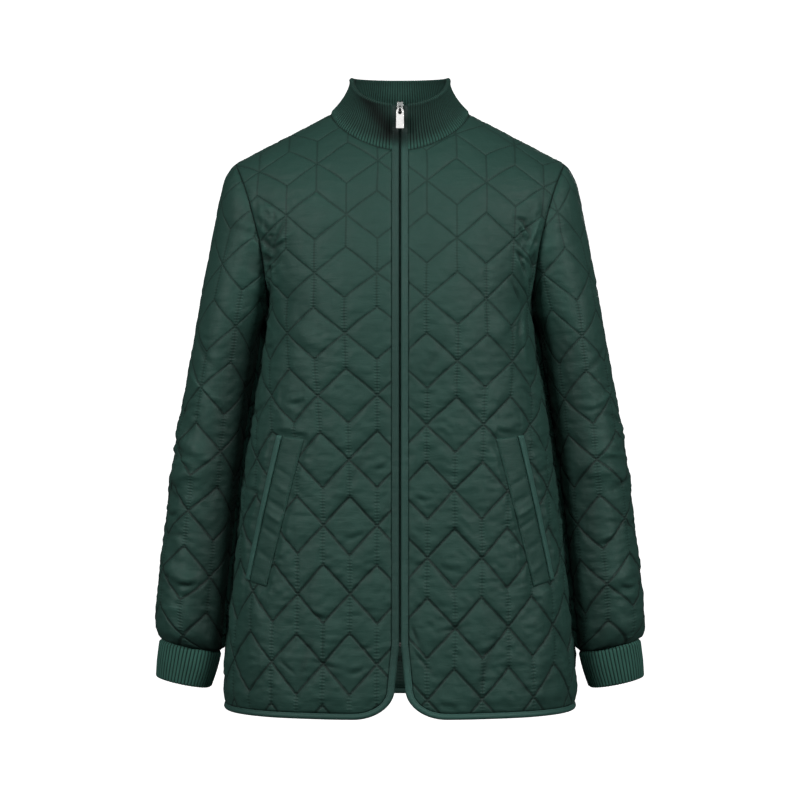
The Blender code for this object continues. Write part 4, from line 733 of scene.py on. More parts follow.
def cell_numbers(columns, rows):
    """A number for each cell, the same all over it, to give every cell its own fullness."""
    x, w = pleat(columns), pleat(rows)
    lozenge = (w < DROP * x) | (w > 1.0 - DROP + DROP * x)
    u = np.where(lozenge, np.round(columns), np.floor(columns) + 0.5)
    v = np.where(lozenge, np.round(rows), np.floor(rows) + 0.5)
    return np.modf(np.abs(np.sin(u * 12.9898 + v * 78.233) * 43758.5453))[0]


def soft_noise(x, y, seed):
    """Seeded noise: random numbers on whole places, eased between, from -1 to 1."""
    table = np.random.default_rng(seed).uniform(-1.0, 1.0, (64, 64))
    i, j = np.floor(x).astype(int), np.floor(y).astype(int)
    f, g = smooth(x - i), smooth(y - j)
    return ((table[i % 64, j % 64] * (1 - f) + table[(i + 1) % 64, j % 64] * f) * (1 - g)
            + (table[i % 64, (j + 1) % 64] * (1 - f) + table[(i + 1) % 64, (j + 1) % 64] * f) * g)


print("lozenge of the back:", round(2 * 34.0), "mm wide,", round(2 * DROP * 68.0), "mm high")

# %% [markdown]
# ## Cloth meshes
# The grid follows the lattice: its diagonals lie exactly on the slanted stitch lines and its columns on
# the upright ones, so a crease never saws across a face. Whole grid squares are kept where they fit
# inside the outline, and a Delaunay strip joins them to the seam's own points. The inner skin is plain
# and coarse, and a rim closes the wall.

# %% Mesh helpers


def make_object(name, points, faces, uv=None, uv_name="cloth"):
    """A mesh object from points and triangles or quads, facing out, smooth, with an optional UV map."""
    points = np.asarray(points, float)
    mesh = bpy.data.meshes.new(name)
    mesh.from_pydata(points, [], faces if isinstance(faces, list) else faces.tolist())
    mesh.update()
    corners = np.empty(len(mesh.loops), int)
    mesh.loops.foreach_get("vertex_index", corners)
    if uv is not None:
        layer = mesh.uv_layers.new(name=uv_name)
        layer.data.foreach_set("uv", np.asarray(uv, np.float32)[corners].ravel())
    mesh.shade_smooth()
    piece = bpy.data.objects.new(name, mesh)
    bpy.context.scene.collection.objects.link(piece)
    return piece


def marked(piece, name, values):
    """Gives every vertex a number that the piece's material reads."""
    mark = piece.data.attributes.new(name, "FLOAT", "POINT")
    mark.data.foreach_set("value", np.ascontiguousarray(values, np.float32).ravel())
    return piece


def enclosed(points, triangles):
    """Sum of a · (b x c) over the triangles: six times the volume, positive where they face out."""
    a, b, c = (points[triangles[:, k]] for k in range(3))
    return np.einsum("ij,ij->i", a, np.cross(b, c)).sum()


def in_chunks(function, points, size=3000):
    """Runs a function on 3000 points at a time, to save memory, and joins what it returns."""
    return [np.concatenate(values) for values in zip(*(function(points[i:i + size])
                                                       for i in range(0, len(points), size)))]


def inside_and_distance(points, loop):
    """Crossing count for inside or outside, and the distance to the loop's nearest stretch."""
    a, b = loop, np.roll(loop, -1, axis=0)
    edge = b - a
    rise = np.where(np.abs(edge[:, 1]) < 1e-12, 1e-12, edge[:, 1])
    square = np.maximum((edge**2).sum(axis=1), 1e-12)

    def part(some):
        px, py = some[:, :1], some[:, 1:]
        crosses = ((a[:, 1] > py) != (b[:, 1] > py)) & (px < a[:, 0] + (py - a[:, 1]) / rise * edge[:, 0])
        t = np.clip(((px - a[:, 0]) * edge[:, 0] + (py - a[:, 1]) * edge[:, 1]) / square, 0.0, 1.0)
        away = (px - a[:, 0] - t * edge[:, 0]) ** 2 + (py - a[:, 1] - t * edge[:, 1]) ** 2
        return crosses.sum(axis=1) % 2 == 1, np.sqrt(away.min(axis=1))

    return in_chunks(part, points)


def signed_area(flat):
    """Half the sum of the cross products of a loop's sides: positive where it runs anticlockwise."""
    x, y = flat.T
    return float((x * np.roll(y, -1) - np.roll(x, -1) * y).sum() / 2)


def seam_inset(points, outward, turn):
    """Half a seam gap into the piece: the sum of both neighbours' sideways directions, mitred."""
    ahead = unit(np.roll(points, -1, axis=0) - points)
    behind = np.roll(ahead, 1, axis=0)
    first, second = unit(np.cross(outward, ahead)) * turn, unit(np.cross(outward, behind)) * turn
    mitre = np.clip(1.0 + (first * second).sum(axis=1, keepdims=True), 0.35, 2.0)
    return SEAM_GAP / 2 * (first + second) / mitre


def strip(flat, edges):
    """Delaunay triangles inside a loop with fixed edges: points, triangles and each point's origin."""
    found = delaunay_2d_cdt([Vector(point) for point in flat], edges, [], 1, 1e-7)
    origin = np.array([sources[0] if sources else -1 for sources in found[3]])
    return np.array([tuple(point) for point in found[0]]), np.array([list(f) for f in found[2]]), origin


def ring_edges(first, count):
    """Pairs of neighbouring numbers round a closed ring."""
    i = np.arange(count)
    return np.stack([first + i, first + (i + 1) % count], axis=1).tolist()


print("mesh helpers ready")

# %% [markdown]
# Every wall is then the same recipe: outer skin with its relief, plain inner skin, rim. Two numbers go
# with each vertex for the material to read: the way to the seam, for painted shade along it, and the
# painted shade and light of the folds and of the arm's inner side.

# %% Quilted wall
STRIP_WIDTH = 0.0013  # grid points nearer to the seam than this give way to the Delaunay strip
SEAM_SINK = 0.0007  # stitching pulls the outer edge this far in


def lattice_skin(name, flat, drape):
    """Kept grid points and triangles inside the outline, and the edges of the kept region."""
    span = np.stack(to_lattice(name, flat[:, 0], flat[:, 1], drape), axis=1)
    steps = np.array([1.0 / CELLS, DROP / CELLS])
    low = np.floor(span.min(axis=0) / steps - 1).astype(int)
    high = np.ceil(span.max(axis=0) / steps + 1).astype(int)
    i, j = np.meshgrid(np.arange(low[0], high[0]), np.arange(low[1], high[1]), indexing="ij")
    columns, rows = i * steps[0], j * steps[1]
    along, z = from_lattice(name, columns, rows, drape)
    places = np.stack([along.ravel(), z.ravel()], axis=1)
    near = (places >= flat.min(axis=0)).all(axis=1) & (places <= flat.max(axis=0)).all(axis=1)
    if drape:
        near &= z.ravel() < shoulder_height(np.abs(along.ravel()) * 0.55) + 0.02
    inside = np.zeros(len(places), bool)
    distance = np.zeros(len(places))
    inside[near], distance[near] = inside_and_distance(places[near], flat)
    kept = (inside & (distance > STRIP_WIDTH)).reshape(i.shape)
    whole = kept[:-1, :-1] & kept[1:, :-1] & kept[:-1, 1:] & kept[1:, 1:]
    index = np.arange(i.size).reshape(i.shape)
    a, b, c, d = index[:-1, :-1][whole], index[1:, :-1][whole], index[1:, 1:][whole], index[:-1, 1:][whole]
    middle_u, middle_v = columns[:-1, :-1][whole] + steps[0] / 2, rows[:-1, :-1][whole] + steps[1] / 2
    rising = (np.floor(middle_u) + np.floor(middle_v)) % 2 == 0
    first = np.where(rising[:, None], np.stack([a, b, c], axis=1), np.stack([a, b, d], axis=1))
    second = np.where(rising[:, None], np.stack([a, c, d], axis=1), np.stack([b, c, d], axis=1))
    borders = np.concatenate([np.stack(pair, axis=1) for pair in ((a, b), (b, c), (c, d), (d, a))])
    keys, counts = np.unique(np.sort(borders, axis=1), axis=0, return_counts=True)
    used = np.unique(np.concatenate([a, b, c, d]))
    renumber = np.full(i.size, -1)
    renumber[used] = np.arange(len(used))
    return (places[used], renumber[np.concatenate([first, second])][:, ::-1], renumber[keys[counts == 1]],
            whole, low, steps)


def mouth_distance(along, z):
    """Distance in the flat cloth to the mouth of the pocket, where the panel sinks under its binding."""
    start, end = POCKET_FLAT[0], POCKET_FLAT[1]
    way = end - start
    places = np.stack([along, z], axis=1) - start
    share = np.clip(places @ way / (way @ way), 0.0, 1.0)
    return np.linalg.norm(places - share[:, None] * way, axis=1)


def stretch(surface, along, z):
    """Cloth per metre of height: more than one over the shoulder, where it runs nearly level."""
    step = surface(along, z) - surface(along, z - 1e-3)
    return np.maximum(np.linalg.norm(step, axis=-1) / 1e-3, 1.0)


def outer_skin(name, flat, drape):
    """Lattice squares and the Delaunay strip round them: places, triangles, and the seam points' numbers."""
    count = len(flat)
    places, triangles, border, whole, low, steps = lattice_skin(name, flat, drape)
    on_border = np.unique(border)
    number = np.full(len(places), -1)
    number[on_border] = count + np.arange(len(on_border))
    edges = ring_edges(0, count) + number[border].tolist()
    joints, patches, origin = strip(np.concatenate([flat, places[on_border]]), edges)
    where = np.stack(to_lattice(name, *joints[patches].mean(axis=1).T, drape), axis=1)
    cell = np.floor(where / steps).astype(int) - low
    shape = np.array(whole.shape)
    known = ((cell >= 0) & (cell < shape)).all(axis=1)
    cell = np.clip(cell, 0, shape - 1)
    patches = patches[~(known & whole[cell[:, 0], cell[:, 1]])]
    fresh = origin < count
    renumber = np.empty(len(joints), int)
    renumber[~fresh] = on_border[origin[~fresh] - count]
    renumber[fresh] = len(places) + np.arange(fresh.sum())
    on_seam = np.flatnonzero(fresh & (origin >= 0))
    seam_at = np.full(count, -1)
    seam_at[origin[on_seam]] = renumber[on_seam]
    return np.concatenate([places, joints[fresh]]), np.concatenate([triangles, renumber[patches]]), seam_at


def inner_skin(flat):
    """A plain grid 11 mm apart, 6 mm off the seam, joined to the seam's points: the same three answers."""
    low, high = flat.min(axis=0), flat.max(axis=0)
    a, b = np.meshgrid(*(np.arange(low[k], high[k], 0.011) for k in (0, 1)), indexing="ij")
    grid = np.stack([a.ravel(), b.ravel()], axis=1)
    inside, distance = inside_and_distance(grid, flat)
    grid = grid[inside & (distance > 0.006)]
    joints, triangles, origin = strip(np.concatenate([flat, grid]), ring_edges(0, len(flat)))
    on_seam = np.flatnonzero((origin >= 0) & (origin < len(flat)))
    seam_at = np.full(len(flat), -1)
    seam_at[origin[on_seam]] = on_seam
    return joints, triangles, seam_at


def seam_darkness(name, surface, along, z, edge, drape):
    """The way to the seam that the material's painted shade along seams reads: finer above the hem, open
    on the shoulder's top, and brought to the pocket's mouth, which gets painted shade too.
    """
    shown = edge * (1.0 + 1.3 * smooth((z + 0.60) / 0.14))
    if name.startswith("front"):
        shown = np.minimum(shown, 0.0003 + 0.8 * mouth_distance(along, z))
    if drape:
        near_top = z - shoulder_height(np.abs(surface(along, z)[..., 0])) + 0.014
        shown = np.maximum(shown, 0.0030 * smooth(near_top / 0.006))
    return shown


def wall(name, surface, core, loop, drape=None, mirrored=False):
    """A closed quilted wall: outer skin = surface + relief along its normal, inner skin = surface - wall."""
    flat, solid, outward, drops = loop
    turn = float(np.sign(signed_area(flat)))
    middle = flat.mean(axis=0)[:, None]
    here = surface(*middle)
    east, north = surface(middle[0] + 1e-3, middle[1]) - here, surface(middle[0], middle[1] + 1e-3) - here
    facing = np.sign((np.cross(east, north) * normals(surface, *middle, core)).sum())
    solid = solid + seam_inset(solid, outward, turn * facing)
    places, outer, outer_at = outer_skin(name, flat, drape)
    along, z = places.T
    edge = inside_and_distance(places, flat)[1] * (stretch(surface, along, z) if drape else 1.0)
    height, columns, rows, folds = quilted_relief(name, surface, along, z, edge, drape)
    points = surface(along, z) + normals(surface, along, z, core) * height[:, None]
    points[outer_at] = solid - outward * SEAM_SINK
    joints, inner, inner_at = inner_skin(flat)
    x, y = joints.T
    inner_points = surface(x, y) - normals(surface, x, y, core) * WALL
    inner_points[inner_at] = solid + drops
    inner, inner_at = inner + len(points), inner_at + len(points)
    after, inner_after = np.roll(outer_at, -1), np.roll(inner_at, -1)
    rims = np.concatenate([np.stack([after, outer_at, inner_at], axis=1),
                           np.stack([after, inner_at, inner_after], axis=1)])
    faces = np.concatenate([outer, inner[:, ::-1], rims if turn > 0 else rims[:, ::-1]])
    points = np.concatenate([points, inner_points]) * (MIRROR if mirrored else 1.0)
    uv = np.concatenate([np.stack([columns, rows], axis=1), np.stack(to_lattice(name, x, y, drape), axis=1)])
    piece = make_object(name, points, faces if enclosed(points, faces) > 0 else faces[:, ::-1], uv, "quilt")
    plain = np.ones(len(joints))
    shown = seam_darkness(name, surface, along, z, edge, drape)
    # For the material: the way to the seam, for painted shade along it, and the folds' painted shade.
    marked(piece, "edge", np.concatenate([shown, 0.02 * plain]))
    marked(piece, "shade", np.concatenate([folds, plain]))
    print(name, len(faces), "triangles,", (flat.max(axis=0) - flat.min(axis=0)).round(3).tolist(), "m flat")
    return piece


# %% [markdown]
# ## Relief of the cloth
# Padding alone looks like a mattress. What makes it cloth are the differences: each cell a little
# fuller or flatter, stitch lines that wander by a millimetre, drag lines that fan out from the underarm,
# gathers above the cuffs, and small creases where the arm bends. Near every seam the padding runs out.
# Light finds its way into a deep fold more easily in a render than in wadding, so the depth of the
# folds is also handed to the material as painted shade, with painted light on the ridges, and the
# arm's inner side gets painted shade too.

# %% Relief
PUFF = 0.0027  # height of a full cell
WANDER = 0.0009  # how far a stitch line strays to either side
DRAG = (0.0026, 0.0016)  # height of the drag lines on the body and on the sleeve
RIPPLE = 0.00055  # height of the ripples within 10 mm of a seam
DEEPEST = -0.0016  # no crease cuts deeper, or it would reach the inner skin
# Painted shade and light: how much darker a fold's hollow and lighter its ridge is painted.
FOLD_SHADE = 150.0  # a fold 1 mm deep takes 15 percent of the light, a ridge gives as much
CREASES = {  # in mm and degrees: along, height, turn, half length, half width, rise
    "front_left": (
        (144, -134.5, -18, 6, 1.8, -3.7), (149.5, -143.5, -62, 8, 1.8, -4.2),
        (142.5, -148, -68, 7, 1.3, -3.2), (146.5, -147, -72, 7, 1.3, 2.8), (156, -156, 70, 26, 2.2, 3.7),
        (144, -178, -42, 10, 1.8, -3.7), (140, -189, -74, 10, 1.5, 3.2),
        (144.5, -190, -76, 12, 1.5, -3.2), (147.5, -200, -84, 20, 2.2, 3.2),
        (137, -220, -66, 14, 2, -2.8), (141, -255, 80, 18, 2, -2.2), (144, -270, 96, 24, 2.4, 2.6),
        (133, -262, 40, 9, 2, -1.8), (154, -342, -40, 12, 2.4, -1.8), (172, -430, 25, 12, 2.4, -1.8),
        (100, -660, 70, 30, 4.5, -1.4), (17, -620, 112, 12, 2, -2.4), (23, -642, 125, 14, 2.2, 2.2),
        (29, -656, 130, 14, 2.2, -2.4), (62, -615, 8, 16, 2.2, -1.8), (40, -300, 60, 30, 5, -1),
        (129, -566, 5, 14, 2.2, -2)),
    "front_right": (
        (145, -153, 116, 17, 2.4, -3.8), (158, -162, 36, 12, 1.9, -2.6), (156, -179, 3, 7, 2.1, -3),
        (153, -153, 4, 5.5, 1.7, -2.2), (157.5, -166, 80, 16, 7, -1.2), (159, -144, 88, 9, 1.4, -2),
        (148.6, -130, 88, 9, 1.4, -1.6), (143, -164, 150, 6, 1.8, -2.4), (150, -196, 84, 12, 1.8, 2.8),
        (156, -190, 78, 10, 1.8, -2.6), (147, -188, 132, 8, 1.6, -2.2), (137, -156, 150, 12, 2, 1.6),
        (160, -250, 60, 16, 2.2, 1.8), (168, -360, -38, 12, 2.4, -1.8), (176, -455, 20, 12, 2.4, -1.8),
        (110, -650, 105, 30, 4.5, -1.4), (88, -656, 14, 14, 2.2, -2.2), (42, -637, 165, 12, 2, -2),
        (45, -420, 118, 30, 5, -1), (132, -660, 40, 12, 2, -1.8), (149.5, -160, 116, 14, 2, 2.6),
        (160, -171.5, 36, 10, 1.8, 2.2), (153, -186.5, 10, 9, 1.9, 2.4), (156, -212, 100, 16, 1.8, -2)),
    "back": (
        (150, -205, -40, 24, 3, -1.7), (156, -224, -25, 26, 3, 1.9), (-148, -200, 40, 24, 3, -1.7),
        (-158, -226, 28, 26, 3, 1.9), (120, -330, 20, 40, 6, -1.2), (-110, -350, -24, 45, 6, -1.2),
        (60, -150, 75, 40, 6, -1), (-70, -140, 108, 40, 6, -1), (30, -420, 8, 50, 7, 1.2),
        (-40, -455, -6, 50, 7, -1.2)),
    "sleeve_left": (
        (-60, -300, 35, 26, 3.5, -1.8), (-55, -345, 25, 24, 3.4, 1.8), (-40, -372, -18, 26, 3.2, -2),
        (-30, -392, 12, 22, 3, -1.8), (-50, -415, -8, 28, 3.4, 2), (-35, -447, 20, 24, 3, -1.8),
        (-45, -500, -15, 26, 3.2, -1.6), (-20, -545, 10, 22, 3, -1.4), (-55, -585, -12, 22, 3, 1.4),
        (60, -330, -30, 28, 3.6, -1.6), (50, -440, 16, 28, 3.4, -1.6), (60, -520, -12, 26, 3.2, 1.6)),
    "sleeve_right": (
        (-58, -290, 40, 26, 3.5, -2), (-60, -330, 30, 26, 3.4, 2), (-35, -365, -22, 24, 3.2, -1.8),
        (-28, -405, 16, 22, 3, -2), (-45, -425, -12, 28, 3.4, 2.2), (-30, -462, 18, 24, 3, -1.8),
        (-50, -512, -10, 26, 3.2, -1.6), (-25, -555, 14, 22, 3, -1.4), (-50, -600, -8, 22, 3, 1.4),
        (58, -345, -26, 28, 3.6, -1.6), (52, -430, 20, 28, 3.4, -1.6), (56, -540, -14, 26, 3.2, 1.6)),
}
POCKET_MOUTH, POCKET_INNER = ((0.1450, -0.389), (0.1822, -0.561)), ((0.1125, -0.3935), (0.157, -0.568))
POCKET_CORNERS = np.array([POCKET_MOUTH[0], POCKET_MOUTH[1], POCKET_INNER[1], POCKET_INNER[0]])
POCKET_FLAT = np.stack([torso_along(POCKET_CORNERS[:, 0], POCKET_CORNERS[:, 1], "front"),
                        POCKET_CORNERS[:, 1]], axis=1)


def padding(cells, low, edge, drape):
    """Fullness · (4p(1 - p) · 4q(1 - q))^0.36 of each cell, leaning a little, and fading at the seams."""
    p, q, lozenge, own = cells
    full = (0.80 + 0.30 * own) * (0.72 + (0.78 if drape else 0.40) * low)
    base = 0.06 + 0.20 * low
    beside = np.where(lozenge, 4 * p * (1 - p), base + (1 - base) * 4 * p * (1 - p))
    puff = PUFF * full * (beside * 4 * q * (1 - q)) ** 0.36
    tilt = np.sin(own * 23.0) * (p - 0.5) + np.sin(own * 41.0) * (q - 0.5)
    puff = puff + (0.0022 if drape else 0.0010) * (0.3 + 0.7 * low) * tilt * beside * 4 * q * (1 - q)
    return puff * (0.25 + 0.75 * smooth(edge / 0.020)) * smooth(edge / 0.0035)


def small_waves(seed, pitch, along, z, columns, rows, cells, low, edge):
    """Two noises all over, upright waves in some lozenges, puckers at the upright lines, and a smile:
    a curved dent that sags in the lower half of some lozenges, a bell along and across its own arc."""
    _, _, lozenge, own = cells
    dimple = 0.5 + 0.5 * smooth(edge / 0.03)
    waves = (0.00026 + 0.00042 * low) * dimple * soft_noise(along / 0.012, z / 0.0055, seed + 2)
    slanting = soft_noise((along + z) / 0.0075, (along - z) / 0.014, seed + 3)
    waves = waves + (0.00018 + 0.00036 * low) * slanting
    upright = soft_noise(along / 0.0042, z / 0.030, seed + 7) * np.clip(np.cos(own * 51.0), 0.0, 1.0)
    waves = waves + (0.00020 + 0.00016 * low) * lozenge * upright
    across, down = columns - np.round(columns), (rows - np.round(rows)) / DROP
    level = 0.62 - 0.5 * across**2 + 0.6 * (own - 0.5)
    smile = np.exp(-(((down - level) / 0.085) ** 2)) - 0.6 * np.exp(-(((down - level + 0.22) / 0.11) ** 2))
    smile = smile * np.exp(-(((across - 0.5 * (own - 0.5)) / 0.30) ** 2))
    smile = smile * np.clip(np.sin(own * 37.0), 0.0, 1.0)
    beside_line = (1 - lozenge) * np.exp(-((across * pitch / 0.0085) ** 2)) * smooth(edge / 0.01)
    waves = waves + 0.0009 * low * beside_line * soft_noise(along / 0.016, z / 0.0046, seed + 9)
    return waves - 0.0030 * lozenge * smile * (0.25 + 0.75 * low) * smooth(edge / 0.02)


def pressed(height, along, z, seed):
    """The cloth lies flat under the pocket's band and puckers within 16 mm of it."""
    in_patch, apart = inside_and_distance(np.stack([along, z], axis=1), POCKET_FLAT)
    fade = np.where(in_patch, 0.0, smooth(apart / 0.009))
    pucker = 0.0012 * soft_noise(along / 0.012, z / 0.0050, seed + 8) * np.exp(-((apart / 0.016) ** 2))
    return np.where(in_patch, 0.0, height * fade + pucker * smooth(apart / 0.003))


def arm_shade(name, x, along, z):
    """Painted shade on the arm's inner side: darker in front, below the underarm, more on the right sleeve.
    """
    centre, half = sleeve_oval(z)[:2]
    inward = (centre - x) / np.maximum(half, 0.01)
    dark = 0.30 * smooth((inward + 0.35) / 0.7)
    if name == "sleeve_right":
        dark = dark + 0.28 * smooth((inward - 0.25) / 0.6)
    return 1.0 - dark * smooth((UNDERARM_Z - z) / 0.06) * smooth(-along / 0.02)


def quilted_relief(name, surface, along, z, edge, drape):
    """Puff of each cell and small waves, plus drag lines that fan out, gathers, and creases as bells."""
    seed = sorted(QUILT).index(name) * 10
    columns, rows = to_lattice(name, along, z, drape)
    wander = WANDER * soft_noise(along / 0.035, z / 0.035, seed)
    wander_z = WANDER * soft_noise(along / 0.03 + 9.0, z / 0.03, seed + 1)
    columns = columns + wander / QUILT[name][1] * smooth(edge / 0.02)
    rows = rows - wander_z / QUILT[name][3] * smooth(edge / 0.02)
    cells = (*cell_places(columns, rows), cell_numbers(columns, rows))
    low = smooth((-0.12 - z) / 0.30)
    puff = padding(cells, low, edge, drape)
    x = np.abs(surface(along, z)[..., 0])
    if drape:
        puff = puff * (0.25 + 0.75 * smooth((shoulder_height(x) - z) / 0.030))
    else:
        outer = smooth((x - read(SLEEVE, "outer", z) + 0.022) / 0.018)
        puff = puff * (1.0 - 0.60 * outer) + 0.0012 * outer * smooth(edge / 0.02)
    waves = small_waves(seed, QUILT[name][1], along, z, columns, rows, cells, low, edge)
    folds = bells(CREASES[name], surface(along, z)[..., 0] if drape == "front" else along, z)
    low_arm = np.exp(-(((z + 0.180) / 0.062) ** 2))
    if drape:
        to_arm = TORSO_ARCS[drape].total(z) - np.abs(along)
        fan = soft_noise((z + 1.1 * to_arm) / 0.0105, (to_arm - 0.5 * z) / 0.0075, seed + 4)
        folds = folds + DRAG[0] * low_arm * fan * np.exp(-((to_arm / 0.030) ** 2)) * smooth(edge / 0.004)
    else:
        fan = soft_noise((z - 0.5 * edge) / 0.0090, edge / 0.05, seed + 4)
        folds = folds + DRAG[1] * low_arm * fan * np.exp(-((edge / 0.030) ** 2))
    height = puff + waves + folds
    if not drape:
        down = z - SLEEVE_END
        gather = soft_noise(along / 0.0075, down / 0.08, seed + 5)
        height = height + (0.0013 * gather + 0.0012) * np.exp(-((down / 0.020) ** 2)) * smooth(down / 0.004)
    ripple = soft_noise(along / 0.006 + 3.0, z / 0.006, seed + 6)
    height = height + RIPPLE * ripple * np.exp(-((edge / 0.010) ** 2)) * smooth(edge / 0.003)
    if name.startswith("front"):
        height = pressed(height, along, z, seed)
    height = np.maximum(height, DEEPEST) - SEAM_SINK * (1.0 - smooth(edge / 0.004))
    # Painted shade in the folds and painted light on their ridges; on sleeves, painted shade inside.
    shade = np.clip(1.0 + FOLD_SHADE * folds, 0.42, 1.22)
    return height, columns, rows, shade if drape else shade * arm_shade(name, x, along, z)


PIECES = {}
for side, flip in (("left", False), ("right", True)):
    name = "front_" + side
    PIECES[name] = wall(name, front_surface, torso_core, FRONT_LOOP, "front", flip)
    name = "sleeve_" + side
    PIECES[name] = wall(name, sleeve, sleeve_core, SLEEVE_LOOP, None, flip)
PIECES["back"] = wall("back", back_surface, torso_core, BACK_LOOP, "back")

# %% [markdown]
# ## Rib knit
# A rib stands up because knit and purl columns curl opposite ways. Here a rib is a rounded ridge, the
# square root of a sine, ten grid columns wide, on both faces of the collar and cuffs, because both
# faces of a rib knit show ribs. The strip is folded over at its free edge, so the profile runs up the
# outside, over a half circle, and down the inside as one closed tube of quads.

# %% Ribbed tubes
RIB_COLUMNS = 10


def rib_height(phase, rise):
    """Ridges: rise · sqrt(|sin(pi · phase)|), where phase counts the ribs."""
    return rise * np.sqrt(np.abs(np.sin(math.pi * phase)))


def folded_over(rows, outside, inside, middle, out, way, half, high, steps):
    """Outside up, half an ellipse over the free edge, inside down; seam ends drawn back by half a gap."""
    turn = np.linspace(0.0, math.pi, steps)[1:-1]
    over = np.array([middle + out * half * math.cos(t) + way * (half * high) * math.sin(t) for t in turn])
    grid = np.concatenate([outside, over, inside[::-1]])
    for row in (0, -1):
        grid[row] += unit(rows[1] - rows[0]) * SEAM_GAP / 2
    return grid


def rib_uv(grid, column, phase):
    """Ribs counted across, and metres along one column's own profile."""
    return np.stack(np.broadcast_arrays(phase[None], lengths(grid[:, column])[:, None]), axis=-1)


def grid_faces(rows, columns, closed_rows, closed_columns):
    """Quads between neighbouring rows and columns of a grid, wrapped where it is closed."""
    index = np.arange(rows * columns).reshape(rows, columns)
    if closed_rows:
        index = np.concatenate([index, index[:1]])
    if closed_columns:
        index = np.concatenate([index, index[:, :1]], axis=1)
    return np.stack([index[:-1, :-1].ravel(), index[:-1, 1:].ravel(), index[1:, 1:].ravel(),
                     index[1:, :-1].ravel()], axis=1)


def closed_grid(name, grid, uv, ends, mirrored=False, uv_name="cloth"):
    """A tube of quads whose rows wrap round; open ends are filled with one face each."""
    rows, columns = grid.shape[:2]
    points = grid.reshape(-1, 3) * (MIRROR if mirrored else 1.0)
    quads = grid_faces(rows, columns, True, not ends)
    faces = quads.tolist()
    if ends:
        index = np.arange(rows * columns).reshape(rows, columns)
        faces += [index[:, 0].tolist(), index[::-1, -1].tolist()]
    if enclosed(points, np.concatenate([quads[:, [0, 1, 2]], quads[:, [0, 2, 3]]])) < 0:
        faces = [face[::-1] for face in faces]
    piece = make_object(name, points, faces, uv.reshape(-1, 2), uv_name)
    print(name, len(faces), "faces")
    return piece


def collar_painted_shade(x, y, level, share):
    """Painted shade beside the zip and under the rolled edge, most at x < 0, in front only; painted
    light near the neck seam, with a painted dark line at the seam itself.
    """
    middle = -0.012 - 0.048 * np.clip(level - 0.40, 0.0, 0.7)
    fold = np.exp(-(((x - middle) / 0.017) ** 2)) * smooth(level / 0.35)
    beside = np.exp(-((x / 0.050) ** 2)) * smooth(level / 0.30)
    dark = np.where(x < 0, 0.66 * fold + 0.22 * beside, 0.42 * beside + 0.30 * fold)
    plain = (0.63 + 0.35 * (1.0 - smooth(level / 0.30))) * (0.38 + 0.62 * smooth(level / 0.035))
    return plain * (1.0 - share * dark * (y < 0))


def collar_piece():
    """Profile over the collar: outside up, a half circle over the edge, inside down."""
    count = COLLAR_RIBS * RIB_COLUMNS + 1
    phase = np.arange(count) / (count - 1) * COLLAR_RIBS
    ribs = rib_height(phase, 0.0011)
    places = np.linspace(0.0, 1.0, count)
    levels = np.concatenate([[0.0, 0.012, 0.03, 0.06], np.linspace(0.10, 0.97, 22)])
    rows = collar_rows(places, levels)
    outward = grid_normals(rows)
    outward[:, [0, -1], 0] = 0.0
    outward = unit(outward)
    wave = 0.0006 * soft_noise(places[None] * 26.0, levels[:, None] * 2.5, 91)
    grow = smooth(levels / 0.06)[:, None]
    roll = 0.0010 * smooth((levels - 0.90) / 0.06)[:, None]
    lift = ribs[None] * (0.15 + 0.85 * grow) + wave * grow - 0.0008 * (1 - grow) + roll
    outside = rows + outward * lift[..., None]
    inside = rows - outward * (COLLAR_WALL - (ribs[None] * grow * 0.6) + roll)[..., None]
    inside[0] = rows[0] + seam_read(places) * (COLLAR_WALL / WALL)
    up = unit(rows[-1] - rows[-2])
    edge = rows[-1] + up * np.linalg.norm(rows[-1] - rows[-2], axis=1, keepdims=True) * 0.15
    half = (COLLAR_WALL + 0.0020 + ribs * 0.6)[:, None] / 2
    middle = edge - outward[-1] * COLLAR_WALL / 2
    grid = folded_over(rows, outside, inside, middle, outward[-1], up, half, 0.9, 9)
    for column, side in ((0, 1.0), (-1, -1.0)):
        grid[:, column, 0] = side * (first_x + SEAM_GAP / 2)
    piece = closed_grid("collar", grid, rib_uv(grid, count // 2, phase), ends=True, uv_name="rib")
    fold = np.ones(len(grid) - 2 * len(levels))
    level = np.concatenate([levels, fold, levels[::-1]])[:, None]
    outer = np.arange(len(grid))[:, None] < len(levels)
    # Painted shade in front, a third as strong inside, and the inside painted 14 percent lighter.
    dark = collar_painted_shade(grid[..., 0], grid[..., 1], level, np.where(outer, 1.0, 0.35))
    return marked(piece, "shade", dark * np.where(outer, 1.0, 1.14))


def seam_read(places):
    """The neck seam's inward direction at shares of its length."""
    return np.stack([np.interp(places, RING_SHARE, NECK_DROPS[:, i]) for i in range(3)], axis=1)


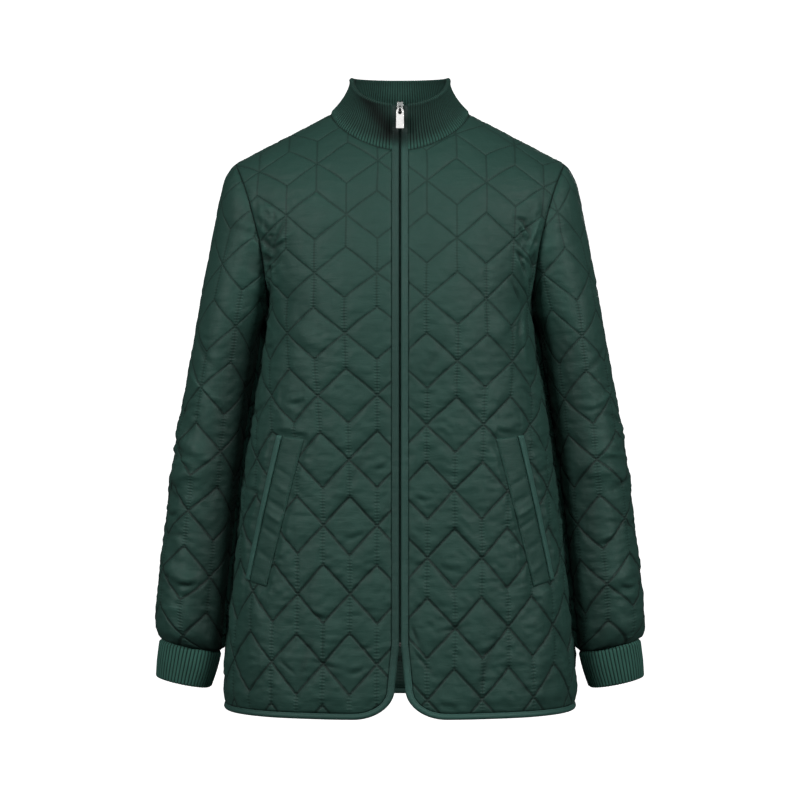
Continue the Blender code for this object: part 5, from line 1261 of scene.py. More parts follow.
def cuff_piece(name, mirrored):
    """The same profile on the cuff's ovals, closed all round."""
    count = CUFF_RIBS * RIB_COLUMNS
    phase = np.arange(count) / float(RIB_COLUMNS)
    ribs = rib_height(phase, 0.0013)
    angles = np.linspace(-math.pi, math.pi, count, endpoint=False)
    levels = np.concatenate([[0.0, 0.015, 0.04, 0.08], np.linspace(0.13, 0.965, 18)])
    rows = cuff_ring(levels, angles)
    outward = unit(rows - cuff_ring(levels, angles + math.pi))
    grow = smooth(levels / 0.08)[:, None]
    wave = 0.0007 * soft_noise((angles[None] + math.pi) * 2.2, levels[:, None] * 2.0, 47)
    bow = 0.0010 * np.sin(math.pi * levels)[:, None]
    outside = rows + outward * (ribs[None] * grow + wave * grow + bow - 0.0006 * (1 - grow))[..., None]
    inside = rows - outward * (WALL - ribs[None] * 0.4 * grow)[..., None]
    down = unit(rows[-1] - rows[-2])
    half = (WALL + ribs * 0.7)[:, None] / 2
    middle = rows[-1] + down * 0.0006 - outward[-1] * WALL / 2
    grid = folded_over(rows, outside, inside, middle, outward[-1], down, half, 1.0, 8)
    piece = closed_grid(name, grid, rib_uv(grid, 0, phase), ends=False, mirrored=mirrored, uv_name="rib")
    # The cuff's rib is painted 28 percent lighter: painted light.
    return marked(piece, "shade", np.full(grid.shape[:2], 1.28))


PIECES["collar"] = collar_piece()
for side, flip in (("left", False), ("right", True)):
    PIECES["cuff_" + side] = cuff_piece("cuff_" + side, flip)

# %% [markdown]
# ## Bound edges
# A strip of the same satin is folded over the raw edges of fronts and hem. Its section is a flattened
# loop: a soft crown on the face, the fold at the free edge, a flat back. Carried along the bound edge it
# puckers slightly between the stitches.

# %% Bindings
COLLAR_RISE = 0.0575  # from the neck seam to the collar's edge, beside the zip
BINDING_SECTION = np.array((  # share of the width from the free edge, lift
    (1.10, 0.0002), (1.07, 0.0009), (0.99, 0.0014), (0.90, 0.0011), (0.81, 0.0016), (0.62, 0.0021),
    (0.42, 0.0021), (0.22, 0.0016), (0.09, 0.0008), (0.02, -0.0002), (0.00, -0.0012), (0.04, -0.0024),
    (0.16, -0.0032), (0.5, -0.0035), (0.85, -0.0032), (1.0, -0.0026)))


def front_profile(x, z, sunk=1.0):
    """The front's middle from hem to collar top: torso below the neckline, sunk collar above it."""
    neck_z = neck_height(first_x, "front")
    low = torso(x, np.minimum(z, neck_z), "front")
    seam_y = torso(np.array([first_x]), np.array([neck_z]), "front")[0, 1]
    share = np.clip((z - neck_z) / (COLLAR["z_front"] - neck_z), 0.0, 1.0)
    top_y = -COLLAR["front"] * 0.987
    points = low.copy()
    rib_y = top_y + (seam_y - top_y) * (1.0 - share) ** COLLAR_FLARE
    points[..., 1] = np.where(z > neck_z, rib_y, low[..., 1])
    points[..., 1] += sunk * hollow(x, share)
    points[..., 2] = z
    return points


def profile_normals(x, z):
    """Normal of the front's middle line, square to its slope."""
    way = unit(front_profile(x, z + 0.002) - front_profile(x, z - 0.002))
    return unit(np.stack([0 * way[..., 0], -way[..., 2], way[..., 1]], axis=-1))


def binding_grid():
    """Rings of the front binding: up the collar's edge and down the opening to the side seam."""
    shares, lifts = BINDING_SECTION.T
    collar_z = np.linspace(COLLAR["z_front"] - 0.0002, neck_height(first_x, "front") + 0.001, 27)
    z = np.repeat(collar_z[:, None], len(shares), axis=1)
    x = np.broadcast_to(EDGE_GAP + shares * (BINDING_WIDTH - SEAM_GAP / 2), z.shape)
    high = front_profile(x, z) + lifts[None, :, None] * profile_normals(x, z)
    pull = shares * (1.0 - SEAM_GAP / 2 / BINDING_WIDTH)
    flat = EDGE_OUTER[1:, None] + pull[None, :, None] * (EDGE_INNER - EDGE_OUTER)[1:, None]
    outward = panel_normals("front", flat[..., 0], flat[..., 1])
    pucker = 0.00022 * soft_noise(np.arange(len(flat))[:, None] / 2.6, 0 * shares[None], 17)
    face_up = smooth((lifts + 0.0005) / 0.0015)
    low = front_surface(flat[..., 0], flat[..., 1]) + outward * (lifts[None] + pucker * face_up)[..., None]
    grid = np.concatenate([high, low])
    level = HEM_Z + shares * (HEM_WIDTH - SEAM_GAP / 2)
    grid[-1] = np.stack([side_x(level) + lifts, np.full(len(shares), -SEAM_GAP / 2), level], axis=1)
    return grid


def strip_uv(grid):
    """Metres along the strip and across it."""
    return np.stack(np.broadcast_arrays(lengths(grid[:, 5])[:, None], lengths(grid[0])[None]), axis=-1)


def strip_piece(name, grid, mirrored=False, shade=1.0):
    """A closed bar from rings: the ring wraps round and both ends are filled. Painted shade above the
    neckline; below it the given shade, with painted light towards the hem.
    """
    turned = np.swapaxes(grid, 0, 1)
    piece = closed_grid(name, turned, np.swapaxes(strip_uv(grid), 0, 1), ends=True, mirrored=mirrored)
    level = (turned[..., 2] - neck_height(first_x, "front")) / COLLAR_RISE
    x = np.abs(turned[..., 0]) * (-1.0 if mirrored else 1.0)
    # Painted light: up to 34 percent lighter below a height of -0.64 m, along the hem.
    return marked(piece, "shade", np.where(level > 0, collar_painted_shade(x, turned[..., 1], level, 1.0),
                                          shade * (1.0 + 0.34 * smooth((-0.64 - turned[..., 2]) / 0.04))))


def back_binding_grid():
    """Rings of the back hem's binding from side seam to side seam."""
    shares, lifts = BINDING_SECTION.T
    span = float(TORSO_ARCS["back"].total(HEM_Z))
    along = np.linspace(-span, span, 230)[:, None]
    z = np.broadcast_to(HEM_Z + shares * (HEM_WIDTH - SEAM_GAP / 2), (230, len(shares)))
    here = along / span * TORSO_ARCS["back"].total(z)
    pucker = 0.00022 * soft_noise(np.arange(230)[:, None] / 2.6, 0 * shares[None], 19)
    lift = lifts[None] + pucker * smooth((lifts + 0.0005) / 0.0015)
    grid = back_surface(here, z) + panel_normals("back", here, z) * lift[..., None]
    for row, side in ((0, -1.0), (-1, 1.0)):
        x = side * (side_x(z[0]) + lifts)
        grid[row] = np.stack([x, np.full(len(shares), SEAM_GAP / 2), z[0]], axis=1)
    return grid


BINDING_GRID = binding_grid()
# Painted light and shade: binding_left 6 percent lighter, binding_right 18 percent darker.
PIECES["binding_left"] = strip_piece("binding_left", BINDING_GRID, shade=1.06)
PIECES["binding_right"] = strip_piece("binding_right", BINDING_GRID, mirrored=True, shade=0.82)
BACK_BINDING_GRID = back_binding_grid()
PIECES["binding_back"] = strip_piece("binding_back", BACK_BINDING_GRID)

# %% [markdown]
# ## Pockets
# Each pocket has a bound mouth, the narrow stripe with painted light on it, and a smooth band beside it
# that is stitched down over the quilting. Both are grids made from the panel's own surface and lifted
# off it; the band gets the cross creases that a hand leaves in it.

# %% Pockets
POCKET_STRIPE = 0.0084 / float(np.linalg.norm(POCKET_FLAT[0] - POCKET_FLAT[3]))
POCKET_CREASES = {  # level, middle across, rise, thickness
    "left": (
        (0.42, 0.62, -0.0011, 0.05), (0.5, 0.55, 0.0012, 0.045), (0.58, 0.66, -0.001, 0.04),
        (0.3, 0.5, -0.0006, 0.04), (0.74, 0.5, -0.0007, 0.05), (0.88, 0.6, 0.0006, 0.05)),
    "right": (
        (0.46, 0.6, -0.0012, 0.045), (0.54, 0.55, 0.0012, 0.045), (0.64, 0.5, -0.001, 0.04),
        (0.24, 0.5, -0.0005, 0.04), (0.8, 0.5, -0.0008, 0.05), (0.34, 0.6, 0.0006, 0.05)),
}


def pocket_places(near, far, rows, columns):
    """Flat places between two shares of the band's width."""
    down = np.linspace(0.0, 1.0, rows)[:, None, None]
    mouth = POCKET_FLAT[0] + down * (POCKET_FLAT[1] - POCKET_FLAT[0])
    inner = POCKET_FLAT[3] + down * (POCKET_FLAT[2] - POCKET_FLAT[3])
    return mouth + np.linspace(near, far, columns)[None, :, None] * (inner - mouth)


def lifted_slab(name, places, top, mirrored, shade):
    """A closed slab on the front: its upper face at a height above the cloth, its lower just clear."""
    along, z = places[..., 0], places[..., 1]
    base, outward = front_surface(along, z), panel_normals("front", along, z)
    upper = base + outward * top[..., None]
    lower = base + outward * 0.0004
    rings = np.concatenate([upper, lower[:, ::-1]], axis=1)
    return strip_piece(name, rings, mirrored, shade)


def pocket(side, mirrored):
    """Bound mouth with a half-round section, and the flat band with its creases."""
    places = pocket_places(0.0, POCKET_STRIPE, 90, 9)
    across = np.linspace(-1.0, 1.0, 9)[None]
    down = np.linspace(0.0, 1.0, 90)[:, None]
    ends = smooth(np.minimum(down, 1 - down) / 0.012 + 0.35)
    top = 0.0008 + 0.0022 * np.sqrt(1.0 - 0.96 * across**4) * ends
    top = top + 0.00025 * soft_noise(down * 26.0, across * 0.0, 23)
    # The mouth's stripe is painted 42 percent lighter: painted light on the raised stripe.
    mouth = lifted_slab("pocket_binding_" + side, places, top, mirrored, 1.42)
    places = pocket_places(POCKET_STRIPE + 0.012, 1.0, 120, 19)
    across, down = np.linspace(0.0, 1.0, 19)[None], np.linspace(0.0, 1.0, 120)[:, None]
    edge = smooth(np.minimum(across, 1 - across) / 0.09) * smooth(np.minimum(down, 1 - down) / 0.012)
    top = 0.0008 + 0.0013 * edge
    for level, middle, rise, thick in POCKET_CREASES[side]:
        slope = down - level - 0.05 * (across - 0.5)
        bell = np.exp(-((slope / (thick * 0.42)) ** 2) - ((across - middle) / 0.5) ** 2)
        top = top + 1.7 * rise * bell * edge
    rough = soft_noise(across * 3.0, down * 26.0, 29 if mirrored else 31)
    top = top + 0.00055 * edge * rough * (0.4 + 0.6 * down)
    band = lifted_slab("pocket_welt_" + side, places, np.maximum(top, 0.0007), mirrored, 1.0)
    return mouth, band


for side, flip in (("left", False), ("right", True)):
    PIECES["pocket_binding_" + side], PIECES["pocket_welt_" + side] = pocket(side, flip)

# %% [markdown]
# ## The zip
# Tapes lie behind the bound edges, and a coil of nylon loops closes the middle. One tooth is a small
# rounded bar with a bead at its nose; over 460 of them alternate from both sides. The slider and its
# pull are polished metal, bevelled, because a bevel is what catches the light.

# %% Tapes and teeth
CHAIN_TOP, TOOTH_PITCH = 0.0020, 0.00137
TAPE_SECTION = np.array((  # from the middle, lift off the front's surface
    (0.0006, -0.0041), (0.0022, -0.0040), (0.0030, -0.0043), (0.0060, -0.0044), (0.0120, -0.0044),
    (0.0120, -0.0050), (0.0060, -0.0050), (0.0006, -0.0050)))


def tape_grid():
    """Rings of a tape: a flat section with a raised cord beside the teeth."""
    z = np.linspace(0.0022, ZIP_END_Z - 0.0038, 260)[:, None]
    x, z = np.broadcast_arrays(TAPE_SECTION[None, :, 0], z)
    grid = front_profile(x, z) + profile_normals(x, z) * TAPE_SECTION[None, :, 1:]
    grid[..., 0] = x
    return grid


def tooth():
    """One tooth pointing to +x: rings of six round a bar that swells into a bead at its nose."""
    reach = np.array([-0.0016, -0.0012, 0.0002, 0.0007, 0.0011, 0.0013])
    radius = np.array([0.20, 0.46, 0.42, 0.56, 0.50, 0.18]) * 1e-3
    turn = np.linspace(0.0, 2 * math.pi, 6, endpoint=False)
    ring = np.stack([0 * turn, np.cos(turn) * 1.5, np.sin(turn)], axis=1)
    points = np.array([[x, 0.0, 0.0] + r * ring for x, r in zip(reach, radius)]).reshape(-1, 3)
    faces = grid_faces(6, 6, False, True).tolist()
    return points, faces + [list(range(6))[::-1], list(range(30, 36))]


def repeated(name, points, faces, places, axes):
    """Copies of one small shape: every copy = place + its points in that place's own three axes."""
    moved = places[:, None] + np.einsum("pk,nkd->npd", points, axes)
    count = len(points)
    shifted = [[[v + k * count for v in face] for face in faces] for k in range(len(places))]
    return make_object(name, moved.reshape(-1, 3), [face for group in shifted for face in group])


def chain():
    """Teeth one pitch apart down the front's middle line, pointing left and right in turn."""
    count = int((CHAIN_TOP - ZIP_END_Z) / TOOTH_PITCH)
    z = CHAIN_TOP - TOOTH_PITCH * (np.arange(count) + 0.5)
    x = 0 * z
    outward = profile_normals(x, z)
    places = front_profile(x, z) - outward * 0.0026
    side = np.where(np.arange(count) % 2 == 0, 1.0, -1.0)
    places[:, 0] -= side * 0.0006
    across = np.stack([side, x, x], axis=1)
    down = np.cross(across, outward)
    points, faces = tooth()
    return repeated("zip_chain", points, faces, places, np.stack([across, outward, down], axis=1))


for side, flip in (("left", False), ("right", True)):
    PIECES["zip_tape_" + side] = strip_piece("zip_tape_" + side, tape_grid(), mirrored=flip)
PIECES["zip_chain"] = chain()
print("teeth:", len(PIECES["zip_chain"].data.polygons) // 32)

# %% Slider and pull
PIVOT_Z, PIVOT_LIFT = -0.0008, 0.0060
PULL_LENGTH, PULL_HALF, PULL_THICK, PULL_BAR = 0.0262, 0.0047, 0.0014, 0.0009
EYE_MIDDLE, EYE_WIDE, EYE_HIGH = 0.0042, 0.0023, 0.0033


def slider_frame(reach=0.004):
    """Pivot of the pull, and the directions across, outward and down along the front."""
    x = np.array([0.0])
    at, below = (front_profile(x, np.array([z]), sunk=0.0) for z in (PIVOT_Z, PIVOT_Z - reach))
    pivot = at[0] + PIVOT_LIFT * profile_normals(x, np.array([PIVOT_Z]))[0]
    down = unit(below[0] - at[0])
    return pivot, np.array([[1.0, 0.0, 0.0], [0.0, down[2], -down[1]], down])


def plate(outline, hole, near, far, pivot, axes):
    """Points and faces of a flat plate, with or without a hole matched point for point to its outline."""
    count, points = len(outline), []
    for depth in (far, near):
        for ring in (outline,) if hole is None else (outline, hole):
            points.append(np.stack([ring[:, 0], np.full(len(ring), depth), ring[:, 1]], axis=1))
    points = pivot + np.concatenate(points) @ axes
    i, j = np.arange(count), (np.arange(count) + 1) % count
    if hole is None:
        sides = np.stack([i, count + i, count + j, j], axis=1).tolist()
        return points, sides + [list(range(count)), list(range(2 * count))[:count - 1:-1]]
    faces = [np.stack(quad, axis=1) for quad in (
        (i, j, count + j, count + i), (2 * count + i, 3 * count + i, 3 * count + j, 2 * count + j),
        (i, 2 * count + i, 2 * count + j, j), (count + i, count + j, 3 * count + j, 3 * count + i))]
    return points, np.concatenate(faces).tolist()


def bevelled(piece, width, segments=3):
    """A bevel on the edges that turn by more than 35 degrees."""
    bevel = piece.modifiers.new("bevel", "BEVEL")
    bevel.width, bevel.segments, bevel.limit_method = width, segments, "ANGLE"
    bevel.angle_limit = math.radians(35.0)
    bevel.harden_normals = True
    return piece


def pull_outlines(count=72):
    """The tab's rim: a half oval on top, straight sides, a square end; and its oval eye."""
    turn = np.linspace(0.0, 2 * math.pi, count, endpoint=False)
    across, down = np.sin(turn), -np.cos(turn)
    eye = np.stack([EYE_WIDE * across, EYE_MIDDLE + EYE_HIGH * down], axis=1)
    rounded = np.stack([PULL_HALF * across, EYE_MIDDLE + (EYE_MIDDLE + PULL_BAR) * down], axis=1)
    bottom = PULL_LENGTH - PULL_BAR
    far = np.minimum((bottom - EYE_MIDDLE) / np.maximum(down, 1e-6),
                     PULL_HALF / np.maximum(np.abs(across), 1e-6))
    straight = np.stack([far * across, EYE_MIDDLE + far * down], axis=1)
    rim = np.where((down > 0.02)[:, None], straight, rounded)
    for side in (-1.0, 1.0):
        corner = np.array([side * PULL_HALF, bottom])
        rim[np.argmin(np.linalg.norm(rim - corner, axis=1))] = corner
    return rim, eye


def oriented(points, faces):
    """Faces turned so that the body's volume, summed over fans of triangles, is positive."""
    fans = np.array([(f[0], f[k], f[k + 1]) for f in faces for k in range(1, len(f) - 1)])
    return faces if enclosed(points, fans) > 0 else [list(face)[::-1] for face in faces]


def pull_tab():
    """A plate with an eye, hung from the pivot and lying along the front."""
    pivot, axes = slider_frame(PULL_LENGTH)
    points, faces = plate(*pull_outlines(), -PULL_THICK / 2, PULL_THICK / 2, pivot, axes)
    return bevelled(make_object("zip_pull", points, oriented(points, faces)), 0.00032)


def slider():
    """Crown plate with flared wings, a post down to the teeth, and the arch that holds the pull."""
    pivot, axes = slider_frame()
    t = np.linspace(-0.0088, 0.0042, 14)
    half = 0.0037 - 0.0010 * smooth((t + 0.0030) / 0.0060) - 0.0012 * (1 - smooth((t + 0.0088) / 0.0016))
    outline = np.concatenate([np.stack([half, t], axis=1), np.stack([-half, t], axis=1)[::-1]])
    outline = np.concatenate([outline, [[0.0, -0.0078]]])
    parts = [plate(outline, None, -0.0034, -0.0017, pivot, axes)]
    block = np.array([[0.0009, -0.0030], [0.0009, 0.0030], [-0.0009, 0.0030], [-0.0009, -0.0030]])
    parts.append(plate(block, None, -0.0064, -0.0030, pivot, axes))
    arch_t = np.linspace(0.0, math.pi, 17)
    path = np.stack([-0.0029 * np.cos(arch_t), -0.0022 + 0.0049 * np.sin(arch_t) ** 0.62], axis=1)
    way = unit(np.gradient(path, axis=0))
    side = np.stack([-way[:, 1], way[:, 0]], axis=1) * 0.0005
    rings = []
    for across, lift in ((-0.0011, 1), (0.0011, 1), (0.0011, -1), (-0.0011, -1)):
        at = path + side * lift
        rings.append(np.stack([np.full(17, across), at[:, 1], at[:, 0]], axis=1))
    rings = np.stack(rings, axis=1)
    faces = grid_faces(17, 4, False, True).tolist() + [[3, 2, 1, 0], [64, 65, 66, 67]]
    parts.append((pivot + rings.reshape(-1, 3) @ axes, faces))
    points, faces, base = [], [], 0
    for some, polygons in parts:
        faces += [[v + base for v in polygon] for polygon in oriented(some, polygons)]
        points.append(some)
        base += len(some)
    return bevelled(make_object("zip_slider", np.concatenate(points), faces), 0.00028)


def bottom_stop():
    """The small box that ends the teeth, clamped over both tapes."""
    x, z = np.array([0.0]), np.array([ZIP_END_Z - 0.0008])
    outward = profile_normals(x, z)[0]
    down = np.array([0.0, outward[2], -outward[1]])
    down = down if down[2] < 0 else -down
    axes = np.array([[1.0, 0.0, 0.0], outward, down])
    outline = np.array([[0.0013, -0.0022], [0.0013, 0.0022], [-0.0013, 0.0022], [-0.0013, -0.0022]])
    points, faces = plate(outline, None, -0.0037, -0.0006, front_profile(x, z)[0], axes)
    return bevelled(make_object("zip_bottom_stop", points, oriented(points, faces)), 0.0003)


PIECES["zip_slider"], PIECES["zip_pull"], PIECES["zip_bottom_stop"] = slider(), pull_tab(), bottom_stop()
print("slider frame:", slider_frame()[0].round(4))

# %% [markdown]
# ## Topstitching
# Thread lies on the cloth in short lengths and dives under it between them. One stitch is a bent capsule
# 2.3 mm long, and every seam that shows thread gets a row of them, 3 mm apart.

# %% Stitches


def stitch():
    """One stitch along +x: rings of five whose middle line bows up and whose ends sink."""
    t = np.linspace(-1.0, 1.0, 6)
    radius = 0.00024 * np.sqrt(np.clip(1.08 - t**2, 0.02, 1.0))
    turn = np.linspace(0.0, 2 * math.pi, 5, endpoint=False)
    ring = np.stack([0 * turn, np.cos(turn), np.sin(turn)], axis=1)
    middle = np.stack([t * 0.00115, 0 * t, 0.00018 - 0.00030 * t**2], axis=1)
    points = (middle[:, None] + radius[:, None, None] * ring[None]).reshape(-1, 3)
    return points, grid_faces(6, 5, False, True).tolist() + [list(range(5))[::-1], list(range(25, 30))]


def stitch_row(name, lines):
    """Stitches every 3 mm along lines of points with their normals."""
    places, axes = [], []
    for points, outward in lines:
        at, up = sampled(0.0030, points, outward)
        way = unit(np.gradient(at, axis=0))
        up = unit(up - way * (way * up).sum(axis=1, keepdims=True))
        places.append(at[1:-1])
        axes.append(np.stack([way, np.cross(up, way), up], axis=1)[1:-1])
    points, faces = stitch()
    piece = repeated(name, points, faces, np.concatenate(places), np.concatenate(axes))
    print(name, len(np.concatenate(places)), "stitches")
    return piece


def binding_line(grid, column, mirrored):
    """A line along a binding's rings at one point of its section."""
    flip = MIRROR if mirrored else np.ones(3)
    points = grid[:, column]
    way = np.gradient(points, axis=0)
    across = grid[:, column + 1] - grid[:, column - 1]
    outward = unit(np.cross(way, across))
    outward = outward * np.sign((outward * (points - torso_core(points))).sum(axis=1, keepdims=True))
    return (points + outward * 0.00005) * flip, outward * flip


def flat_line(start, end, lift, mirrored):
    """A straight line in the front's cloth from one flat place to another."""
    t = np.linspace(0.0, 1.0, 80)[:, None]
    flat = start + t * (end - start)
    outward = panel_normals("front", flat[:, 0], flat[:, 1])
    flip = MIRROR if mirrored else np.ones(3)
    return (front_surface(flat[:, 0], flat[:, 1]) + outward * lift) * flip, outward * flip


sewn = ((BINDING_GRID, False), (BINDING_GRID, True), (BACK_BINDING_GRID, False))
lines = [binding_line(grid, 3, mirrored) for grid, mirrored in sewn]
PIECES["binding_stitches"] = stitch_row("binding_stitches", lines)
lines = []
for mirrored in (False, True):
    top, low = POCKET_FLAT[3] - POCKET_FLAT[0], POCKET_FLAT[2] - POCKET_FLAT[1]
    down = unit(POCKET_FLAT[2] - POCKET_FLAT[3])
    for share in (POCKET_STRIPE + 0.075, 0.93):
        lines.append(flat_line(POCKET_FLAT[0] + share * top + down * 0.003,
                               POCKET_FLAT[1] + share * low - down * 0.003, 0.0020, mirrored))
PIECES["pocket_stitches"] = stitch_row("pocket_stitches", lines)

# %% [markdown]
# ## Materials
# Colours are named in sRGB hex, as on a swatch card, and turned to linear light by one function. One
# more small function adds a node, sets it and links it; every material below is built from that. What
# is the same all over a surface is set on the shader itself.

# %% Material helpers


def dye(hex_colour):
    """sRGB hex to linear light: below 0.04045 a division by 12.92, above it a power of 2.4."""
    parts = [int(hex_colour[i:i + 2], 16) / 255 for i in (1, 3, 5)]
    return tuple(c / 12.92 if c <= 0.04045 else ((c + 0.055) / 1.055) ** 2.4 for c in parts) + (1.0,)


def feed(made, inputs):
    """Gives inputs of a node a value or a link each: a dict by name, or a tuple in the inputs' order."""
    for key, value in (inputs.items() if isinstance(inputs, dict) else enumerate(inputs)):
        if isinstance(value, bpy.types.NodeSocket):
            made.id_data.links.new(value, made.inputs[key])
        else:
            made.inputs[key].default_value = value


def node(tree, kind, inputs=(), output=0, **settings):
    """Adds a node, sets its properties, feeds its inputs, and returns one of its outputs."""
    made = tree.nodes.new("ShaderNode" + kind)
    for key, value in settings.items():
        setattr(made, key, value)
    feed(made, inputs)
    return made.outputs[output]


def new_material(name):
    """An empty material, the function above bound to its tree, and its Principled shader."""
    material = bpy.data.materials.new(name)
    material.use_nodes = True
    tree = material.node_tree
    return material, partial(node, tree), tree.nodes["Principled BSDF"]


COLUMN, ROW = 0.0335, 0.071  # metres of cloth that one column and one row of the lattice stand for
SLANT = 0.052  # the same for a line's slant, measured square to it


def dyed(add, shader, colour, shade, height, unit_height=1.0):
    """Feeds the shader colour · shade, and a bump whose height is in metres unless told."""
    tint = add("VectorMath", {0: dye(colour)[:3], "Scale": shade}, operation="SCALE")
    bump = add("Bump", {"Height": height, "Distance": unit_height, "Strength": 1.0})
    feed(shader, {"Base Color": tint, "Normal": bump})


EASED = {"interpolation_type": "SMOOTHSTEP"}


def lattice_fields(add):
    """Nodes that fold the quilting's UV map and measure the way to its lines, in metres."""
    uv = add("UVMap", uv_map="quilt")
    split = add("SeparateXYZ", (uv,)).node.outputs
    x = add("Math", (split[0], 1.0), operation="PINGPONG")
    w = add("Math", (split[1], 1.0), operation="PINGPONG")
    a = add("Math", (x, -DROP, w), operation="MULTIPLY_ADD")
    b = add("Math", (a, DROP - 1.0), operation="ADD")
    a = add("Math", (a,), operation="ABSOLUTE")
    b = add("Math", (b,), operation="ABSOLUTE")
    slanted = add("Math", (a, b), operation="MINIMUM")
    slanted = add("Math", (slanted, SLANT), operation="MULTIPLY")
    beside = add("Math", (x, COLUMN), operation="MULTIPLY")
    past = add("Math", (w, ROW, -ROW * (1 - DROP)), operation="MULTIPLY_ADD")
    first = add("Math", (beside, past), operation="MAXIMUM")
    beside = add("Math", (x, -COLUMN, COLUMN), operation="MULTIPLY_ADD")
    past = add("Math", (w, -ROW, ROW * DROP), operation="MULTIPLY_ADD")
    second = add("Math", (beside, past), operation="MAXIMUM")
    upright = add("Math", (first, second), operation="MINIMUM")
    return split, x, slanted, upright


print("dark green on the swatch card:", [round(c, 4) for c in dye("#2b4a42")])

# %% [markdown]
# ### Satin-faced polyester
# A light woven polyester with a soft shine, quilted to wadding by machine. The eye sees a low sheen, a
# furrow at each stitch line with painted shade in and beside it, a ladder of tiny puckers beside the
# upright lines, where the machine ran across the grain, painted light and dark in turn, and a faint
# horizontal slub. Painted shade also runs along the seams.

# %% Satin
PUCKERS = {"row": 21.0, "column": 15.0}  # in one row and one column, so 3.4 and 2.2 mm apart


def satin(name, colour, quilted):
    """Woven polyester: slub and cloudiness from noise, furrows and ladders from the lattice, with painted
    shade in the furrows and along the seams, and the vertices' painted shade and light.
    """
    material, add, shader = new_material(name)
    place = add("TexCoord", output="Object")
    stretched = add("Mapping", {0: place, "Scale": (260.0, 260.0, 1500.0)})
    slub = add("TexNoise", {"Vector": stretched, "Scale": 1.0, "Detail": 3.0, "Roughness": 0.6})
    cloud = add("TexNoise", {"Vector": place, "Scale": 22.0, "Detail": 3.0, "Roughness": 0.55})
    crease = {"Vector": place, "Scale": 95.0, "Detail": 4.0, "Roughness": 0.55, "Distortion": 0.6}
    crease = add("TexNoise", crease)
    light = add("MapRange", (cloud, 0.3, 0.7, 0.95, 1.05))
    grain = add("MapRange", (slub, 0.3, 0.7, 0.985, 1.015))
    shade = add("Math", (light, grain), operation="MULTIPLY")
    height = add("Math", (slub, 0.00006), operation="MULTIPLY")
    height = add("Math", (crease, 0.00032, height), operation="MULTIPLY_ADD")
    dragged = add("Mapping", {0: place, "Scale": (34.0, 34.0, 150.0)})
    drag = {"Vector": dragged, "Scale": 1.0, "Detail": 3.0, "Roughness": 0.5, "Distortion": 0.8}
    drag = add("TexNoise", drag)
    drag = add("Math", (drag, cloud), operation="MULTIPLY")
    height = add("Math", (drag, 0.0011, height), operation="MULTIPLY_ADD")
    if quilted:
        split, x, slanted, upright = lattice_fields(add)
        low = add("SeparateXYZ", (place,), 2)
        low = add("MapRange", (low, -0.10, -0.45, 0.0, 1.0))
        width = add("Math", (low, -0.30, 1.0), operation="MULTIPLY_ADD")
        width = add("Math", (slanted, width), operation="MULTIPLY")
        furrow = add("MapRange", (width, 0.0003, 0.0016, 1.0, 0.0), **EASED)
        # Painted shade in a broad band beside the slanted lines, growing towards the hem.
        valley = add("MapRange", (width, 0.0010, 0.0060, 0.16, 0.0))
        valley = add("Math", (valley, low), operation="MULTIPLY")
        ladder = add("Math", (split[1], 2 * math.pi * PUCKERS["row"]), operation="MULTIPLY")
        ladder = add("Math", (ladder,), operation="SINE")
        beside = add("MapRange", (upright, 0.0026, 0.0038, 1.0, 0.0), **EASED)
        ladder = add("Math", (ladder, beside), operation="MULTIPLY")
        rungs = add("Math", (x, 2 * math.pi * PUCKERS["column"]), operation="MULTIPLY")
        rungs = add("Math", (rungs,), operation="SINE")
        beside = add("MapRange", (slanted, 0.0006, 0.0032, 1.0, 0.0), **EASED)
        rungs = add("Math", (rungs, beside), operation="MULTIPLY")
        puckered = add("MapRange", (low, 0.0, 0.40, 0.0, 1.0))
        ladder = add("Math", (ladder, puckered), operation="MULTIPLY")
        height = add("Math", (furrow, -0.00035, height), operation="MULTIPLY_ADD")
        height = add("Math", (ladder, 0.00017, height), operation="MULTIPLY_ADD")
        height = add("Math", (rungs, 0.00008, height), operation="MULTIPLY_ADD")
        # Painted shade: furrows, upright lines and valleys darkened by up to 62 percent.
        depth = add("Math", (low, 0.45, 0.55), operation="MULTIPLY_ADD")
        furrow = add("Math", (furrow, depth), operation="MULTIPLY")
        line = add("MapRange", (upright, 0.0003, 0.0016, 0.62, 0.0), **EASED)
        depth = add("Math", (low, -0.50, 1.0), operation="MULTIPLY_ADD")
        line = add("Math", (line, depth), operation="MULTIPLY")
        furrow = add("Math", (furrow, line), operation="MAXIMUM")
        furrow = add("Math", (furrow, valley), operation="MAXIMUM")
        dark = add("Math", (furrow, -0.62, 1.0), operation="MULTIPLY_ADD")
        shade = add("Math", (shade, dark), operation="MULTIPLY")
        # Painted light and shade on the ladder's puckers, 11 percent either way.
        rung_shade = add("Math", (ladder, 0.11, 1.0), operation="MULTIPLY_ADD")
        shade = add("Math", (shade, rung_shade), operation="MULTIPLY")
        # Painted shade along the seams, down to 30 percent at the seam.
        edge = add("Attribute", output="Fac", attribute_name="edge")
        seam = add("MapRange", (edge, 0.0005, 0.0028, 0.30, 1.0), **EASED)
        shade = add("Math", (shade, seam), operation="MULTIPLY")
    # The vertices' shade numbers: painted shade and light of folds, arms, collar, bindings and stripe.
    drawn = add("Attribute", output="Fac", attribute_name="shade")
    shade = add("Math", (shade, drawn), operation="MULTIPLY")
    dyed(add, shader, colour, shade, height)
    rough = add("MapRange", (crease, 0.3, 0.7, 0.58, 0.70))
    feed(shader, {"Roughness": rough, "IOR": 1.36, "Sheen Weight": 0.05, "Sheen Roughness": 0.45,
                  "Sheen Tint": dye("#9fb8ae")})
    return material


